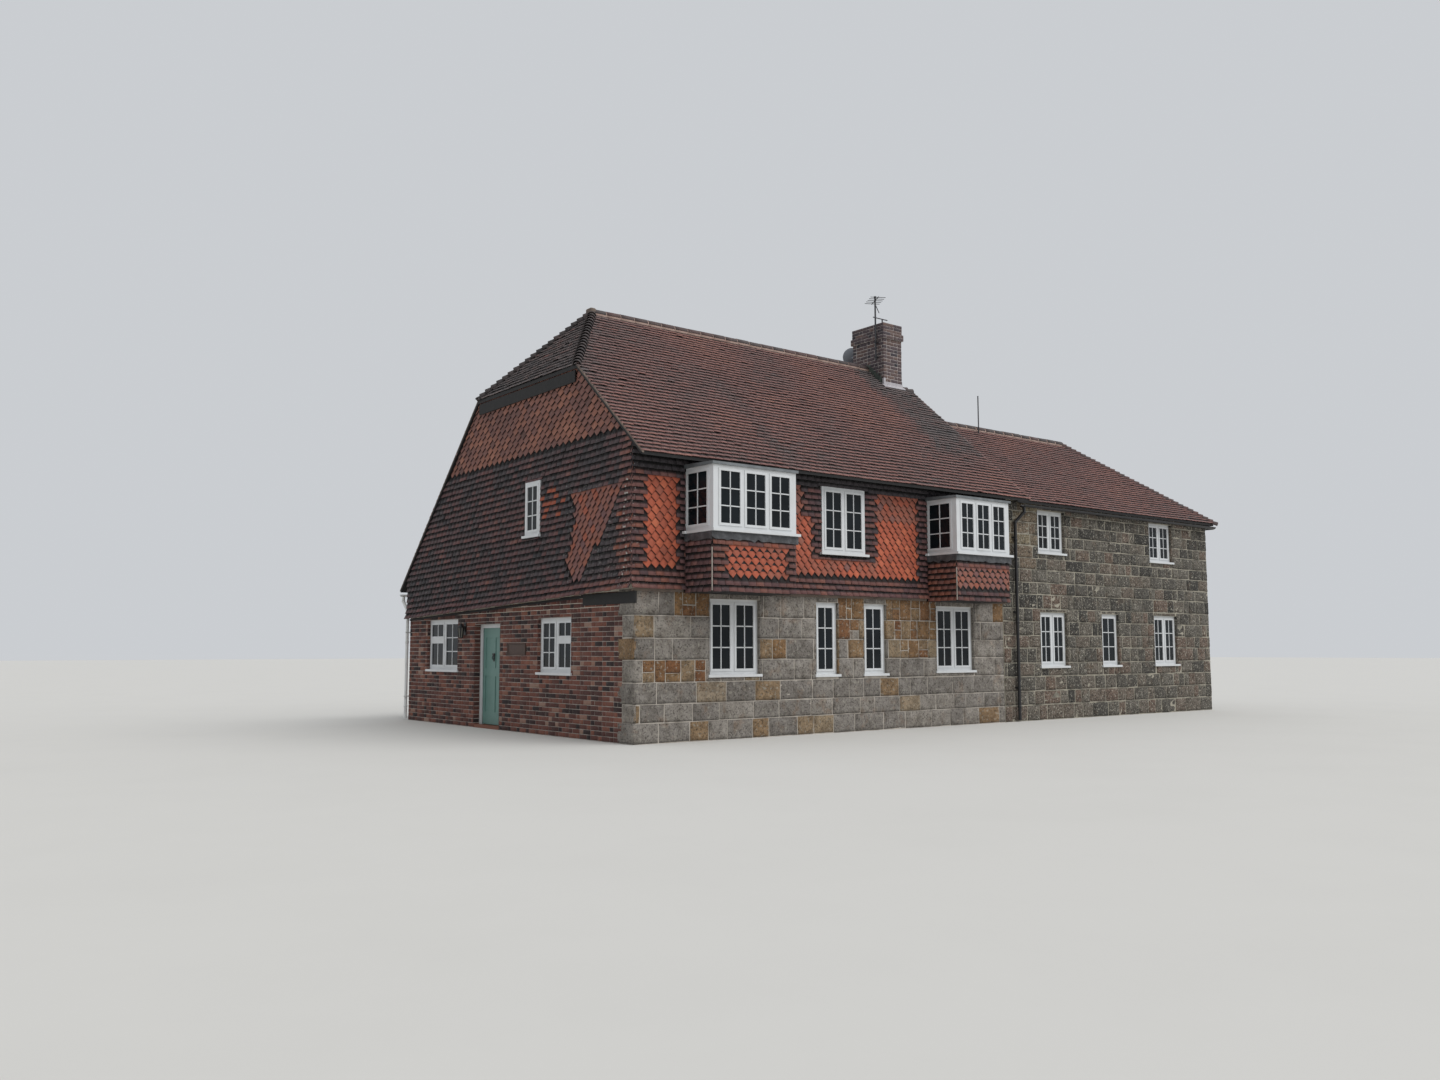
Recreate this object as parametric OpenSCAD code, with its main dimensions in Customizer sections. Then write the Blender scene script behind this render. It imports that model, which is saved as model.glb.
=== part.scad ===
// Tile-hung farmhouse with a lower stone wing.
// X runs along the front, Y runs back into the house, Z is up.
// Heights are measured from the lowest ground; the near front corner of the
// tile hanging is x = 0, y = 0 before the whole house is centred.

/* [Main block] */
// Length of the main block, to the outer face of the dividing wall
main_len = 9870; // [9600:10:10400]
// Depth of the main block, front tiles to rear brick face
main_depth = 8950; // [8600:10:9100]
// How far the stone front stands behind the face of the tiles
stone_set = 70; // [40:5:90]
// How far the brick gable stands behind the face of the tiles
brick_set = 110; // [80:5:140]
// Thickness of the stone front wall
stone_t = 450; // [380:10:520]
// Thickness of the ground floor brick walls
brick_t = 330; // [300:5:400]
// Thickness of the upper wall behind the tile hanging
upper_t = 200; // [150:5:240]
// Thickness of the tile hanging with its battens
hang_t = 45; // [30:1:60]
// Thickness of the wall between the main block and the wing
divide_t = 400; // [300:10:450]
// How far the lowest course of hung tiles kicks out
kick = 80; // [40:5:100]
// Height of the kicked-out skirt of the tile hanging
kick_h = 240; // [150:10:300]
// Height of the bottom edge of the tile hanging at the near corner
hang_z = 2520; // [2450:5:2560]
// Height of that edge at the rear end of the gable
hang_rear_z = 2210; // [2205:5:2400]

/* [Floors] */
// Top of the ground floor
floor_z = 60; // [40:5:100]
// Top of the first floor
upper_floor_z = 2600; // [2550:10:2700]
// Depth of the first floor
upper_floor_t = 200; // [150:10:250]

/* [Main roof] */
// How far the front eaves tiles stand out from the tile hanging
eave_out = 360; // [250:10:400]
// Height of the front eaves
eave_z = 4730; // [4700:5:4800]
// Rise over run of the front slope
front_pitch = 0.881; // [0.84:0.001:0.92]
// How far back the rear eaves stand
rear_eave_y = 9250; // [9200:10:9400]
// Height of the rear eaves
rear_eave_z = 2880; // [2800:5:3000]
// Rise over run of the long rear slope, up to the level of the half-hip eaves
rear_pitch = 0.9945; // [0.95:0.0005:1.02]
// Height of the ridge, where the rear slope eases up to it
ridge_z = 8180; // [8100:10:8300]
// How far the roof oversails the gable tiles
verge_out = 30; // [20:5:50]
// How far the roof oversails the dividing wall
right_verge_out = 90; // [50:5:120]
// Height of the left half-hip eaves
left_hip_z = 6560; // [6400:10:6700]
// Height of the right half-hip eaves
right_hip_z = 7690; // [7600:10:7900]
// Length of the left half-hip on plan
left_hip_run = 1450; // [1300:10:1600]
// Length of the right half-hip on plan, behind and beside the stack
right_hip_run = 600; // [560:10:700]
// How far the flat shoulder beside the stack rises towards it
shoulder_rise = 50; // [20:5:90]

/* [Wing] */
// Length of the wing beyond the dividing wall
wing_len = 7800; // [7400:10:8200]
// Front face of the wing
wing_set = 60; // [40:5:90]
// Depth of the wing from its front face to its rear face
wing_depth = 4920; // [4700:10:5100]
// Thickness of the wing walls
wing_t = 450; // [380:10:500]
// How far the wing eaves stand out
wing_eave_out = 180; // [120:10:220]
// Height of the wing eaves
wing_eave_z = 4740; // [4700:5:4800]
// Height of the wing ridge
wing_ridge_z = 6880; // [6700:10:7000]
// Length of the wing hip on plan
wing_hip_run = 2800; // [2500:10:3000]

/* [Roof build] */
// Depth of the laid tiles above the roof boards, measured upright
cover = 40; // [30:1:50]
// Depth of the boards that reach over the walls, measured upright
board = 60; // [50:5:70]
// Depth of the rafters below the boards, measured upright
rafter = 150; // [120:5:180]

/* [Oriel windows] */
// How far the oriels stand out
oriel_out = 750; // [650:10:800]
// Left side of the left oriel
oriel_a_x = 1104; // [1060:2:1150]
// Width of the left oriel
oriel_a_w = 1806; // [1700:2:1900]
// Height of the left oriel's window above its sill
oriel_a_z = 3500; // [3450:5:3550]
// Left side of the right oriel
oriel_b_x = 7095; // [7050:5:7150]
// Width of the right oriel
oriel_b_w = 1600; // [1500:5:1700]
// Height of the right oriel's window above its sill
oriel_b_z = 3420; // [3380:5:3500]
// Height of the oriel windows
oriel_h = 1060; // [1000:5:1080]
// Thickness of the lead roof over an oriel
oriel_roof_t = 55; // [45:5:60]

/* [Windows and door] */
// Thickness of the white window frames
frame_t = 70; // [60:5:90]
// Width of a frame member
frame_w = 55; // [45:1:65]
// Width of a sash member
sash_w = 42; // [35:1:50]
// How far a sash stands out of its frame
sash_proud = 12; // [8:1:20]
// Thickness of the glass
glass_t = 10; // [6:1:14]
// How far stone reveals stand in front of the window frames
reveal = 55; // [30:5:90]
// Rear side of the doorway, where the door hangs
door_y = 5760; // [5700:5:5800]
// Width of the doorway
door_w = 1070; // [1000:5:1100]
// Height of the doorway
door_h = 2030; // [1980:5:2080]
// How far the door stands back in its doorway
door_set = 150; // [100:5:180]
// Thickness of the door
leaf_t = 44; // [38:1:50]
// Gap round the door
leaf_gap = 7; // [6:1:10]

/* [Chimney] */
// Left side of the stack
stack_x = 9040; // [9000:5:9080]
// Front side of the stack
stack_y = 3000; // [2950:5:3050]
// Width of the stack along the house
stack_w = 600; // [560:5:640]
// Depth of the stack across the house
stack_d = 1000; // [900:5:1050]
// Height of the underside of the cap
stack_z = 8800; // [8750:5:8850]
// Height of the top of the cap
cap_z = 9170; // [9100:5:9200]

/* [Hidden] */
$fn = 48;
// Any cut runs past a face by this much
past = 50;
// Reach that clears the whole house
far = 30000;

// Colours of the house
c_stone = "#9a948a";
c_brick = "#7d4f3e";
c_tile = "#6b4a42";
c_hung = "#a0543a";
c_plaster = "#d8d2c4";
c_oak = "#6f5a45";
c_lead = "#70757a";
c_white = "#e9e9e6";
c_glass = "#28343c";
c_mint = "#8fb5a0";
c_black = "#1d1d1f";

// Places worked out from the driving sizes
upper_in = hang_t + upper_t;
divide_x = main_len - divide_t;
rear_in = main_depth - brick_t;
stone_in = stone_set + stone_t;
brick_in = brick_set + brick_t;
joist_z = upper_floor_z - upper_floor_t;
wing_x1 = main_len + wing_len;
wing_in = wing_set + wing_t;
wing_y1 = wing_set + wing_depth;
wing_rear_in = wing_y1 - wing_t;
wing_ridge_y = (wing_set + wing_y1) / 2;
wing_eave_x = wing_x1 + wing_eave_out;
wing_pitch = (wing_ridge_z - wing_eave_z) / (wing_ridge_y - wing_set + wing_eave_out);
wing_hip_x = wing_eave_x - wing_hip_run;
left_verge = -verge_out;
right_verge = main_len + right_verge_out;

// Height of the tile tops on each main slope
function front_z(y) = eave_z + front_pitch * (y + eave_out);
function front_y(z) = (z - eave_z) / front_pitch - eave_out;
ridge_y = front_y(ridge_z);
// The knee where the rear slope eases
knee_z = left_hip_z;
knee_y = rear_eave_y - (knee_z - rear_eave_z) / rear_pitch;
upper_pitch = (ridge_z - knee_z) / (knee_y - ridge_y);
function rear_z(y) = y > knee_y
    ? rear_eave_z + rear_pitch * (rear_eave_y - y)
    : ridge_z - upper_pitch * (y - ridge_y);
function rear_y(z) = z < knee_z
    ? rear_eave_y - (z - rear_eave_z) / rear_pitch
    : ridge_y + (ridge_z - z) / upper_pitch;

// Outlines of the half-hips along the house, from the verge up to the ridge
left_hip_line = [
    [left_verge, left_hip_z],
    [left_verge + left_hip_run, ridge_z]
];
// The right one is a low shoulder beside the stack, and steep behind it
right_hip_line = [
    [right_verge, right_hip_z],
    [stack_x + stack_w, right_hip_z + shoulder_rise],
    [right_verge - right_hip_run, ridge_z]
];

// Bottom edge of the hung tiles along the gable
hang_fall = (hang_z - hang_rear_z) / main_depth;
function hang_edge(y) = hang_z - hang_fall * y;
hang_back = 55;

// Each row: left side, sill, width, height, number of lights
ground_windows = [
    [1656, 1100, 1100, 1290, 2],
    [4107, 1070, 557, 1320, 1],
    [5344, 1070, 596, 1320, 1],
    [7373, 1100, 1133, 1290, 2]
];
casement = [4220, 3315, 1110, 1225, 2];
wing_windows = [
    [10725, 3652, 948, 928, 2],
    [15087, 3652, 968, 928, 2],
    [10739, 1161, 946, 1169, 2],
    [13024, 1161, 657, 1169, 1],
    [15173, 1161, 993, 1169, 2]
];
// The rear of the wing repeats the front's storeys
wing_rear_windows = [
    [11200, 3652, 948, 928, 2],
    [15087, 3652, 948, 928, 2],
    [11200, 1161, 948, 1169, 2],
    [15087, 1161, 948, 1169, 2]
];
// On the gable each row starts from the rear side, as seen from outside
gable_window_up = [3570, 3630, 560, 1000, 1];
gable_window_right = [3200, 1120, 1170, 980, 2];
gable_window_left = [8010, 1120, 1470, 1040, 2];
rear_windows = [
    [1500, 1150, 1100, 1050, 2],
    [4400, 1150, 1100, 1050, 2],
    [7200, 1150, 1100, 1050, 2]
];

// Reach of a cut through a wall
hole_reach = 1500;
sill_h = 45;
breast_top = 6400;
oriel_post = 110;
sill_lip = 70;
lead_lip = 35;
lead_fall = 20;
gutter_r = 50;

// The whole house is centred on its base
house_left = -kick;
house_right = wing_eave_x + 10 + gutter_r;
house_front = -oriel_out - sill_lip;
house_rear = rear_eave_y + 10 + gutter_r;

module housed() {
    translate([-(house_left + house_right) / 2, -(house_front + house_rear) / 2, 0])
        children();
}

// Outline in Y and Z, run along X
module along_x(outline, x0, x1) {
    translate([x0, 0, 0]) rotate([90, 0, 90]) linear_extrude(x1 - x0) polygon(outline);
}

// Outline in X and Z, run along Y
module along_y(outline, y0, y1) {
    translate([0, y1, 0]) rotate([90, 0, 0]) linear_extrude(y1 - y0) polygon(outline);
}

// Outline in X and Y, run up Z
module up_z(outline, z0, z1) {
    translate([0, 0, z0]) linear_extrude(z1 - z0) polygon(outline);
}

// Box between two corners
module block(low, high) {
    translate(low) cube(high - low);
}

// Everything under the two main slopes, lowered by d
module under_slopes(d) {
    y0 = -3 * eave_out;
    y1 = rear_eave_y + 3 * eave_out;
    along_x([
        [y0, -past], [y0, front_z(y0) - d], [ridge_y, ridge_z - d],
        [knee_y, knee_z - d], [y1, rear_z(y1) - d], [y1, -past]
    ], -eave_out, main_len + eave_out);
}

// A strip of one depth below a half-hip line, run across the house
module hip_band(line, top, deep) {
    n = len(line);
    along_y(concat(
        [for (i = [0 : n - 1]) [line[i][0], line[i][1] - top]],
        [for (i = [n - 1 : -1 : 0]) [line[i][0], line[i][1] - deep]]
    ), 0, main_depth);
}

// Everything under the half-hips, lowered by d
module under_hips(d) {
    l = left_hip_line;
    r = right_hip_line;
    along_y(concat(
        [[l[0][0] - eave_out, -past], [l[0][0] - eave_out, l[0][1] - eave_out - d]],
        [for (p = l) [p[0], p[1] - d]],
        [for (i = [len(r) - 1 : -1 : 0]) [r[i][0], r[i][1] - d]],
        [[r[0][0] + eave_out, r[0][1] - eave_out - d], [r[0][0] + eave_out, -past]]
    ), -3 * eave_out, rear_eave_y + 3 * eave_out);
}

// The room that the main roof leaves below its boards
module main_space(d) {
    intersection() {
        under_slopes(d);
        under_hips(d);
    }
}

// Plan of a half-hip, from its front corner over the ridge end to its rear corner
function hip_plan(line) = concat(
    [for (p = line) [p[0], front_y(p[1])]],
    [for (i = [len(line) - 2 : -1 : 0]) [line[i][0], rear_y(line[i][1])]]
);

// The same plan run out past the verge, to take the corner off a main slope
function hip_plan_past(line, side) = concat(
    [[line[0][0] + side * eave_out, front_y(line[0][1])]],
    hip_plan(line),
    [[line[0][0] + side * eave_out, rear_y(line[0][1])]]
);

// The stack passes through the roof and the top of the dividing wall
module stack_hole(grow = 0) {
    block([stack_x - grow, stack_y - grow, breast_top],
        [stack_x + stack_w + grow, stack_y + stack_d + grow, far / 2]);
}

// Walls stop this far under the boards, and ridge and hip tiles this far over them
bed = 1;
wall_top = cover + board + bed;

// A slope's boards and rafters: outlines in Y and Z
function slope_band(y0, y1, z0, z1, top, deep) = [
    [y0, z0 - top], [y1, z1 - top], [y1, z1 - deep], [y0, z0 - deep]
];

// Wing roof
function wing_z(run) = wing_eave_z + wing_pitch * run;
wing_eave_y = wing_set - wing_eave_out;
wing_rear_eave = wing_y1 + wing_eave_out;
wing_hip_pitch = (wing_ridge_z - wing_eave_z) / wing_hip_run;

module under_wing(d) {
    intersection() {
        along_x([
            [wing_eave_y - 1000, -past], [wing_eave_y - 1000, wing_z(-1000) - d],
            [wing_ridge_y, wing_ridge_z - d],
            [wing_rear_eave + 1000, wing_z(-1000) - d], [wing_rear_eave + 1000, -past]
        ], main_len, far);
        along_y([
            [main_len, -past], [main_len, wing_ridge_z + 1000],
            [wing_eave_x - (wing_ridge_z + 1000 - wing_eave_z) / wing_hip_pitch,
                wing_ridge_z + 1000 - d],
            [wing_eave_x + 1000, wing_eave_z - 1000 * wing_hip_pitch - d],
            [wing_eave_x + 1000, -past]
        ], -far, far);
    }
}

// Windows: local X runs to the right as seen from outside, local Y runs inwards
module hole(w) {
    translate([w[0], -hole_reach, w[1] - sill_h]) cube([w[2], 2 * hole_reach, w[3] + sill_h]);
}

// Inside width of one light of a window
function light_w(w) = (w[2] - 2 * frame_w - (w[4] - 1) * frame_w) / w[4];

// A white frame with its mullions, sashes and sill; the wall's face stands
// set_back in front of the frame, and the sill reaches sill_out past that face
module window_frame(w, set_back, sill_out, horn) {
    width = w[2];
    height = w[3];
    light = light_w(w);
    translate([w[0], 0, w[1]]) {
        difference() {
            cube([width, frame_t, height]);
            for (i = [0 : w[4] - 1])
                translate([frame_w + i * (light + frame_w), -past, frame_w])
                    cube([light, frame_t + 2 * past, height - 2 * frame_w]);
        }
        for (i = [0 : w[4] - 1])
            translate([frame_w + i * (light + frame_w), -sash_proud, frame_w])
                sash(light, height - 2 * frame_w);
        translate([0, -set_back, -sill_h]) cube([width, set_back + frame_t, sill_h]);
        if (sill_out > 0)
            translate([-horn, -set_back - sill_out, -sill_h])
                cube([width + 2 * horn, sill_out, sill_h]);
    }
}

module sash(width, height) {
    difference() {
        cube([width, 45, height]);
        translate([sash_w, -past, sash_w])
            cube([width - 2 * sash_w, 45 + 2 * past, height - 2 * sash_w]);
    }
}

// The panes that fill a window's sashes, set in a thin line of putty
putty = 0.5;

module window_glass(w) {
    light = light_w(w);
    for (i = [0 : w[4] - 1])
        translate([
            w[0] + frame_w + i * (light + frame_w) + sash_w + putty, 8,
            w[1] + frame_w + sash_w + putty
        ])
            cube([
                light - 2 * sash_w - 2 * putty, glass_t,
                w[3] - 2 * frame_w - 2 * sash_w - 2 * putty
            ]);
}

// Where a window stands on each side of the house
module on_gable(w, face) {
    translate([face, w[0], 0]) rotate([0, 0, -90]) children();
}

module on_rear(w, face) {
    translate([w[0] + w[2], face, 0]) rotate([0, 0, 180]) children();
}

// The same window with its left side at the local origin
function home(w) = [0, w[1], w[2], w[3], w[4]];

// Ground floor walls of the main block
module main_front_wall() {
    color(c_stone) housed() difference() {
        block([brick_set, stone_set, 0], [divide_x, stone_in, upper_floor_z]);
        for (w = ground_windows) hole(w);
    }
}

// The brick wall is rebated at its head to carry the upper wall
module gable_brick(y0, y1, z0) {
    along_y([
        [brick_set, z0], [brick_in, z0], [brick_in, joist_z], [upper_in, joist_z],
        [upper_in, hang_rear_z - 10], [brick_set, hang_rear_z - 10]
    ], y0, y1);
}

module gable_wall_front() {
    color(c_brick) housed() difference() {
        gable_brick(stone_in, door_y - door_w, 0);
        on_gable(gable_window_right, 0) hole(home(gable_window_right));
    }
}

module gable_wall_rear() {
    color(c_brick) housed() difference() {
        gable_brick(door_y, rear_in, 0);
        on_gable(gable_window_left, 0) hole(home(gable_window_left));
    }
}

module gable_wall_over_door() {
    color(c_brick) housed() gable_brick(door_y - door_w, door_y, door_h);
}

module main_rear_wall() {
    color(c_brick) housed() difference() {
        union() {
            intersection() {
                block([brick_set, rear_in, 0], [main_len, main_depth, far / 3]);
                under_slopes(wall_top + rafter);
            }
            intersection() {
                union() {
                    block([brick_set, rear_in, 0], [upper_in, main_depth, far / 3]);
                    block([divide_x, rear_in, 0], [main_len, main_depth, far / 3]);
                }
                under_slopes(wall_top);
            }
        }
        for (w = rear_windows) on_rear(w, main_depth) hole(home(w));
    }
}

// The wall between the two parts, with a plain opening on each floor
module dividing_wall() {
    color(c_brick) housed() difference() {
        intersection() {
            block([divide_x, wing_in, 0], [main_len, rear_in, far / 3]);
            main_space(wall_top);
        }
        stack_hole();
        inner_doorway(floor_z);
        inner_doorway(upper_floor_z);
    }
}

inner_door_y = 1400;
inner_door_w = 860;
inner_door_h = 1960;

module inner_doorway(z) {
    block([divide_x - past, inner_door_y, z],
        [main_len + past, inner_door_y + inner_door_w, z + inner_door_h]);
}

// The frame behind the tile hanging on the front
module front_upper_wall() {
    color(c_plaster) housed() difference() {
        intersection() {
            block([upper_in, hang_t, upper_floor_z], [divide_x, upper_in, far / 3]);
            under_slopes(wall_top + rafter);
        }
        hole(casement);
        oriel_hole(oriel_a_x, oriel_a_w, oriel_a_z);
        oriel_hole(oriel_b_x, oriel_b_w, oriel_b_z);
    }
}

module oriel_hole(x, w, z) {
    block([x + oriel_post, -hole_reach, upper_floor_z - past],
        [x + w - oriel_post, hole_reach, z + oriel_h]);
}

// The frame behind the tile hanging on the gable
module gable_upper_wall() {
    color(c_plaster) housed() difference() {
        intersection() {
            union() {
                along_x([
                    [hang_t, hang_edge(0) + hang_back + bed],
                    [main_depth, hang_edge(main_depth) + hang_back + bed],
                    [main_depth, far / 3], [hang_t, far / 3]
                ], hang_t, brick_set);
                along_x([
                    [hang_t, upper_floor_z], [stone_in, upper_floor_z],
                    [stone_in, hang_rear_z - 10], [rear_in, hang_rear_z - 10],
                    [rear_in, far / 3], [hang_t, far / 3]
                ], brick_set, upper_in);
            }
            main_space(wall_top);
        }
        on_gable(gable_window_up, 0) hole(home(gable_window_up));
    }
}

// Tile hanging: a sheet with a kicked-out skirt, mitred at the near corner
module front_tile_hanging() {
    color(c_hung) housed() difference() {
        intersection() {
            union() {
                block([-kick, 0, hang_z + hang_back / 2], [divide_x + 130, hang_t, far / 3]);
                along_x(skirt(stone_set), -kick, divide_x + 130);
            }
            under_slopes(wall_top);
            up_z([[-far, -far], [far, -far], [far, far]], 0, far);
        }
        block([divide_x, wing_set, 0], [far, far, far]);
        hole(casement);
        oriel_slot(oriel_a_x, oriel_a_w, oriel_a_z);
        oriel_slot(oriel_b_x, oriel_b_w, oriel_b_z);
    }
}

// Outline of the skirt: the drip edge, the kick and the fillet behind it
function skirt(back) = [
    [-kick, hang_z], [-kick, hang_z + 15], [-kick * 0.45, hang_z + kick_h * 0.45],
    [5, hang_z + kick_h], [hang_t / 2, hang_z + kick_h], [hang_t / 2, hang_z + hang_back],
    [back, hang_z + hang_back], [back, hang_z + 10]
];

module oriel_slot(x, w, z) {
    head = z + oriel_h;
    block([x, -hole_reach, hang_z - past], [x + w, hole_reach, head]);
    block([x - lead_lip, -hole_reach, head],
        [x + w + lead_lip, hole_reach, head + oriel_roof_t + lead_fall]);
}

module gable_tile_hanging() {
    color(c_hung) housed() difference() {
        intersection() {
            union() {
                along_x([
                    [-kick, hang_edge(0) + hang_back / 2],
                    [main_depth, hang_edge(main_depth) + hang_back / 2],
                    [main_depth, far / 3], [-kick, far / 3]
                ], 0, hang_t);
                gable_skirt();
            }
            main_space(wall_top);
            up_z([[-far, -far], [far, far], [-far, far]], 0, far);
            block([-far, -far, 0], [far, main_depth, far]);
        }
        on_gable(gable_window_up, 0) hole(home(gable_window_up));
    }
}

// The gable's skirt drops towards the rear
module gable_skirt() {
    translate([0, 0, hang_z]) rotate([-atan(hang_fall), 0, 0]) translate([0, 0, -hang_z])
        along_y(skirt(brick_set), -2 * kick, main_depth + past);
}

module half_hip_fascia() {
    y0 = front_y(left_hip_z) + 60;
    y1 = rear_y(left_hip_z) - 60;
    color(c_black) housed()
        block([left_verge + 5, y0, left_hip_z - 330], [-1, y1, left_hip_z - cover - board - 20]);
}

// Floors
module ground_floors() {
    color(c_oak) housed() {
        block([brick_in, stone_in, 0], [divide_x, rear_in, floor_z]);
        block([brick_set, door_y - door_w, 0], [brick_in, door_y, floor_z]);
        block([main_len, wing_in, 0], [wing_x1 - wing_t, wing_rear_in, floor_z]);
    }
}

module first_floors() {
    color(c_oak) housed() {
        block([upper_in, stone_in, joist_z], [divide_x, rear_in, upper_floor_z]);
        block([main_len, wing_in, joist_z], [wing_x1 - wing_t, wing_rear_in, upper_floor_z]);
    }
}

// Wing walls: the front one runs on across the end of the dividing wall
module wing_front_wall() {
    color(c_stone) housed() difference() {
        union() {
            intersection() {
                block([main_len, wing_set, 0], [wing_x1, wing_in, far / 3]);
                under_wing(wall_top);
            }
            intersection() {
                block([divide_x, wing_set, 0], [main_len, wing_in, far / 3]);
                under_slopes(wall_top);
            }
        }
        for (w = wing_windows) hole(w);
    }
}

module wing_end_wall() {
    color(c_stone) housed() intersection() {
        block([wing_x1 - wing_t, wing_in, 0], [wing_x1, wing_rear_in, far / 3]);
        under_wing(wall_top);
    }
}

module wing_rear_wall() {
    color(c_stone) housed() difference() {
        intersection() {
            block([main_len, wing_rear_in, 0], [wing_x1, wing_y1, far / 3]);
            under_wing(wall_top);
        }
        for (w = wing_rear_windows) on_rear(w, wing_y1) hole(home(w));
    }
}

// Roof slopes: boards reach the eaves and verges, rafters stay inside the walls
module main_front_slope() {
    color(c_tile) housed() difference() {
        union() {
            along_x(slope_band(30 - eave_out, ridge_y, front_z(30 - eave_out), ridge_z,
                cover, cover + board), left_verge, right_verge - 20);
            along_x(slope_band(hang_t, ridge_y, front_z(hang_t), ridge_z,
                cover, cover + board + rafter), upper_in, divide_x);
        }
        up_z(hip_plan_past(left_hip_line, -1), 0, far);
        up_z(hip_plan_past(right_hip_line, 1), 0, far);
        stack_hole();
    }
}

function rear_band(y1, deep) = [
    [ridge_y, ridge_z - cover], [knee_y, knee_z - cover], [y1, rear_z(y1) - cover],
    [y1, rear_z(y1) - deep], [knee_y, knee_z - deep], [ridge_y, ridge_z - deep]
];

module main_rear_slope() {
    color(c_tile) housed() difference() {
        union() {
            along_x(rear_band(rear_eave_y - 30, cover + board), left_verge, right_verge - 20);
            along_x(rear_band(main_depth, cover + board + rafter), upper_in, divide_x);
        }
        up_z(hip_plan_past(left_hip_line, -1), 0, far);
        up_z(hip_plan_past(right_hip_line, 1), 0, far);
        stack_hole();
    }
}

module left_half_hip() {
    color(c_tile) housed() intersection() {
        union() {
            hip_band(left_hip_line, cover, cover + board);
            intersection() {
                hip_band(left_hip_line, cover, cover + board + rafter);
                block([upper_in, -far, 0], [far, far, far]);
            }
        }
        up_z(hip_plan(left_hip_line), 0, far);
    }
}

module right_half_hip() {
    color(c_tile) housed() difference() {
        intersection() {
            hip_band(right_hip_line, cover, cover + board);
            up_z(hip_plan(right_hip_line), 0, far);
        }
        stack_hole();
    }
}

wing_mitre = [
    [wing_hip_x, wing_ridge_y], [wing_eave_x, wing_eave_y], [wing_eave_x, wing_rear_eave]
];

module wing_slope_half(mirrored) {
    translate([0, mirrored ? 2 * wing_ridge_y : 0, 0]) mirror([0, mirrored ? 1 : 0, 0])
        difference() {
            union() {
                along_x(slope_band(wing_eave_y + 30, wing_ridge_y,
                    wing_z(30), wing_ridge_z, cover, cover + board), main_len, wing_eave_x);
                along_x(slope_band(wing_in, wing_ridge_y,
                    wing_z(wing_in - wing_eave_y), wing_ridge_z,
                    cover, cover + board + rafter), main_len, wing_x1 - wing_t);
            }
            up_z(wing_mitre, 0, far);
        }
}

module wing_front_slope() {
    color(c_tile) housed() wing_slope_half(false);
}

module wing_rear_slope() {
    color(c_tile) housed() wing_slope_half(true);
}

module wing_hip_slope() {
    run = wing_eave_x - 30;
    inner = wing_x1 - wing_t;
    color(c_tile) housed() intersection() {
        union() {
            along_y([
                [wing_hip_x, wing_ridge_z - cover], [run, wing_eave_z + 30 * wing_hip_pitch - cover],
                [run, wing_eave_z + 30 * wing_hip_pitch - cover - board],
                [wing_hip_x, wing_ridge_z - cover - board]
            ], wing_eave_y, wing_rear_eave);
            along_y([
                [wing_hip_x, wing_ridge_z - cover],
                [inner, wing_eave_z + (wing_eave_x - inner) * wing_hip_pitch - cover],
                [inner, wing_eave_z + (wing_eave_x - inner) * wing_hip_pitch - cover - board - rafter],
                [wing_hip_x, wing_ridge_z - cover - board - rafter]
            ], wing_in, wing_rear_in);
        }
        up_z(wing_mitre, 0, far);
    }
}

// A round bar between two points
module rod(a, b, r, sides = $fn) {
    d = b - a;
    translate(a)
        rotate([0, acos(d[2] / norm(d)), atan2(d[1], d[0])])
            cylinder(h = norm(d), r = r, $fn = sides);
}

// Ridges and hips: the backs of the tiles have a few flat sides
ridge_r = 105;
ridge_sink = 60;
hip_r = 80;
hip_sink = 50;
back_sides = 12;

module ridge_tiles() {
    color(c_hung) housed() {
        difference() {
            rod([left_hip_line[1][0] - 60, ridge_y, ridge_z - ridge_sink],
                [stack_x - lead_t, ridge_y, ridge_z - ridge_sink], ridge_r, back_sides);
            under_slopes(cover - bed);
        }
        difference() {
            rod([main_len, wing_ridge_y, wing_ridge_z - ridge_sink],
                [wing_hip_x + 60, wing_ridge_y, wing_ridge_z - ridge_sink], ridge_r, back_sides);
            under_wing(cover - bed);
        }
    }
}

// The hip tiles over one stretch of a half-hip's outline
module main_hip(line, i, front) {
    a = line[i];
    b = line[i + 1];
    rod([a[0], front ? front_y(a[1]) : rear_y(a[1]), a[1] - hip_sink],
        [b[0], front ? front_y(b[1]) : rear_y(b[1]), b[1] - hip_sink], hip_r, back_sides);
}

module hip_tiles() {
    color(c_tile) housed() {
        for (front = [true, false]) difference() {
            main_hip(left_hip_line, 0, front);
            main_space(cover - bed);
            block([-far, -far, 0], [left_verge - 25, far, far]);
            ridge_room();
        }
        difference() {
            for (i = [0, 1]) {
                main_hip(right_hip_line, i, true);
                main_hip(right_hip_line, i, false);
            }
            main_space(cover - bed);
            stack_hole(apron_side + bed);
            ridge_room();
        }
        for (y = [wing_eave_y, wing_rear_eave])
            difference() {
                rod([wing_eave_x, y, wing_eave_z - hip_sink],
                    [wing_hip_x, wing_ridge_y, wing_ridge_z - hip_sink], hip_r, back_sides);
                under_wing(cover - bed);
                block([-far, wing_ridge_y - ridge_r - 10, 0], [far, wing_ridge_y + ridge_r + 10, far]);
                block([wing_eave_x - 30, -far, 0], [far, far, far]);
            }
    }
}

// The strip along the main ridge that its own tiles take
module ridge_room() {
    block([-far, ridge_y - ridge_r - 10, 0], [far, ridge_y + ridge_r + 10, far]);
}

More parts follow.
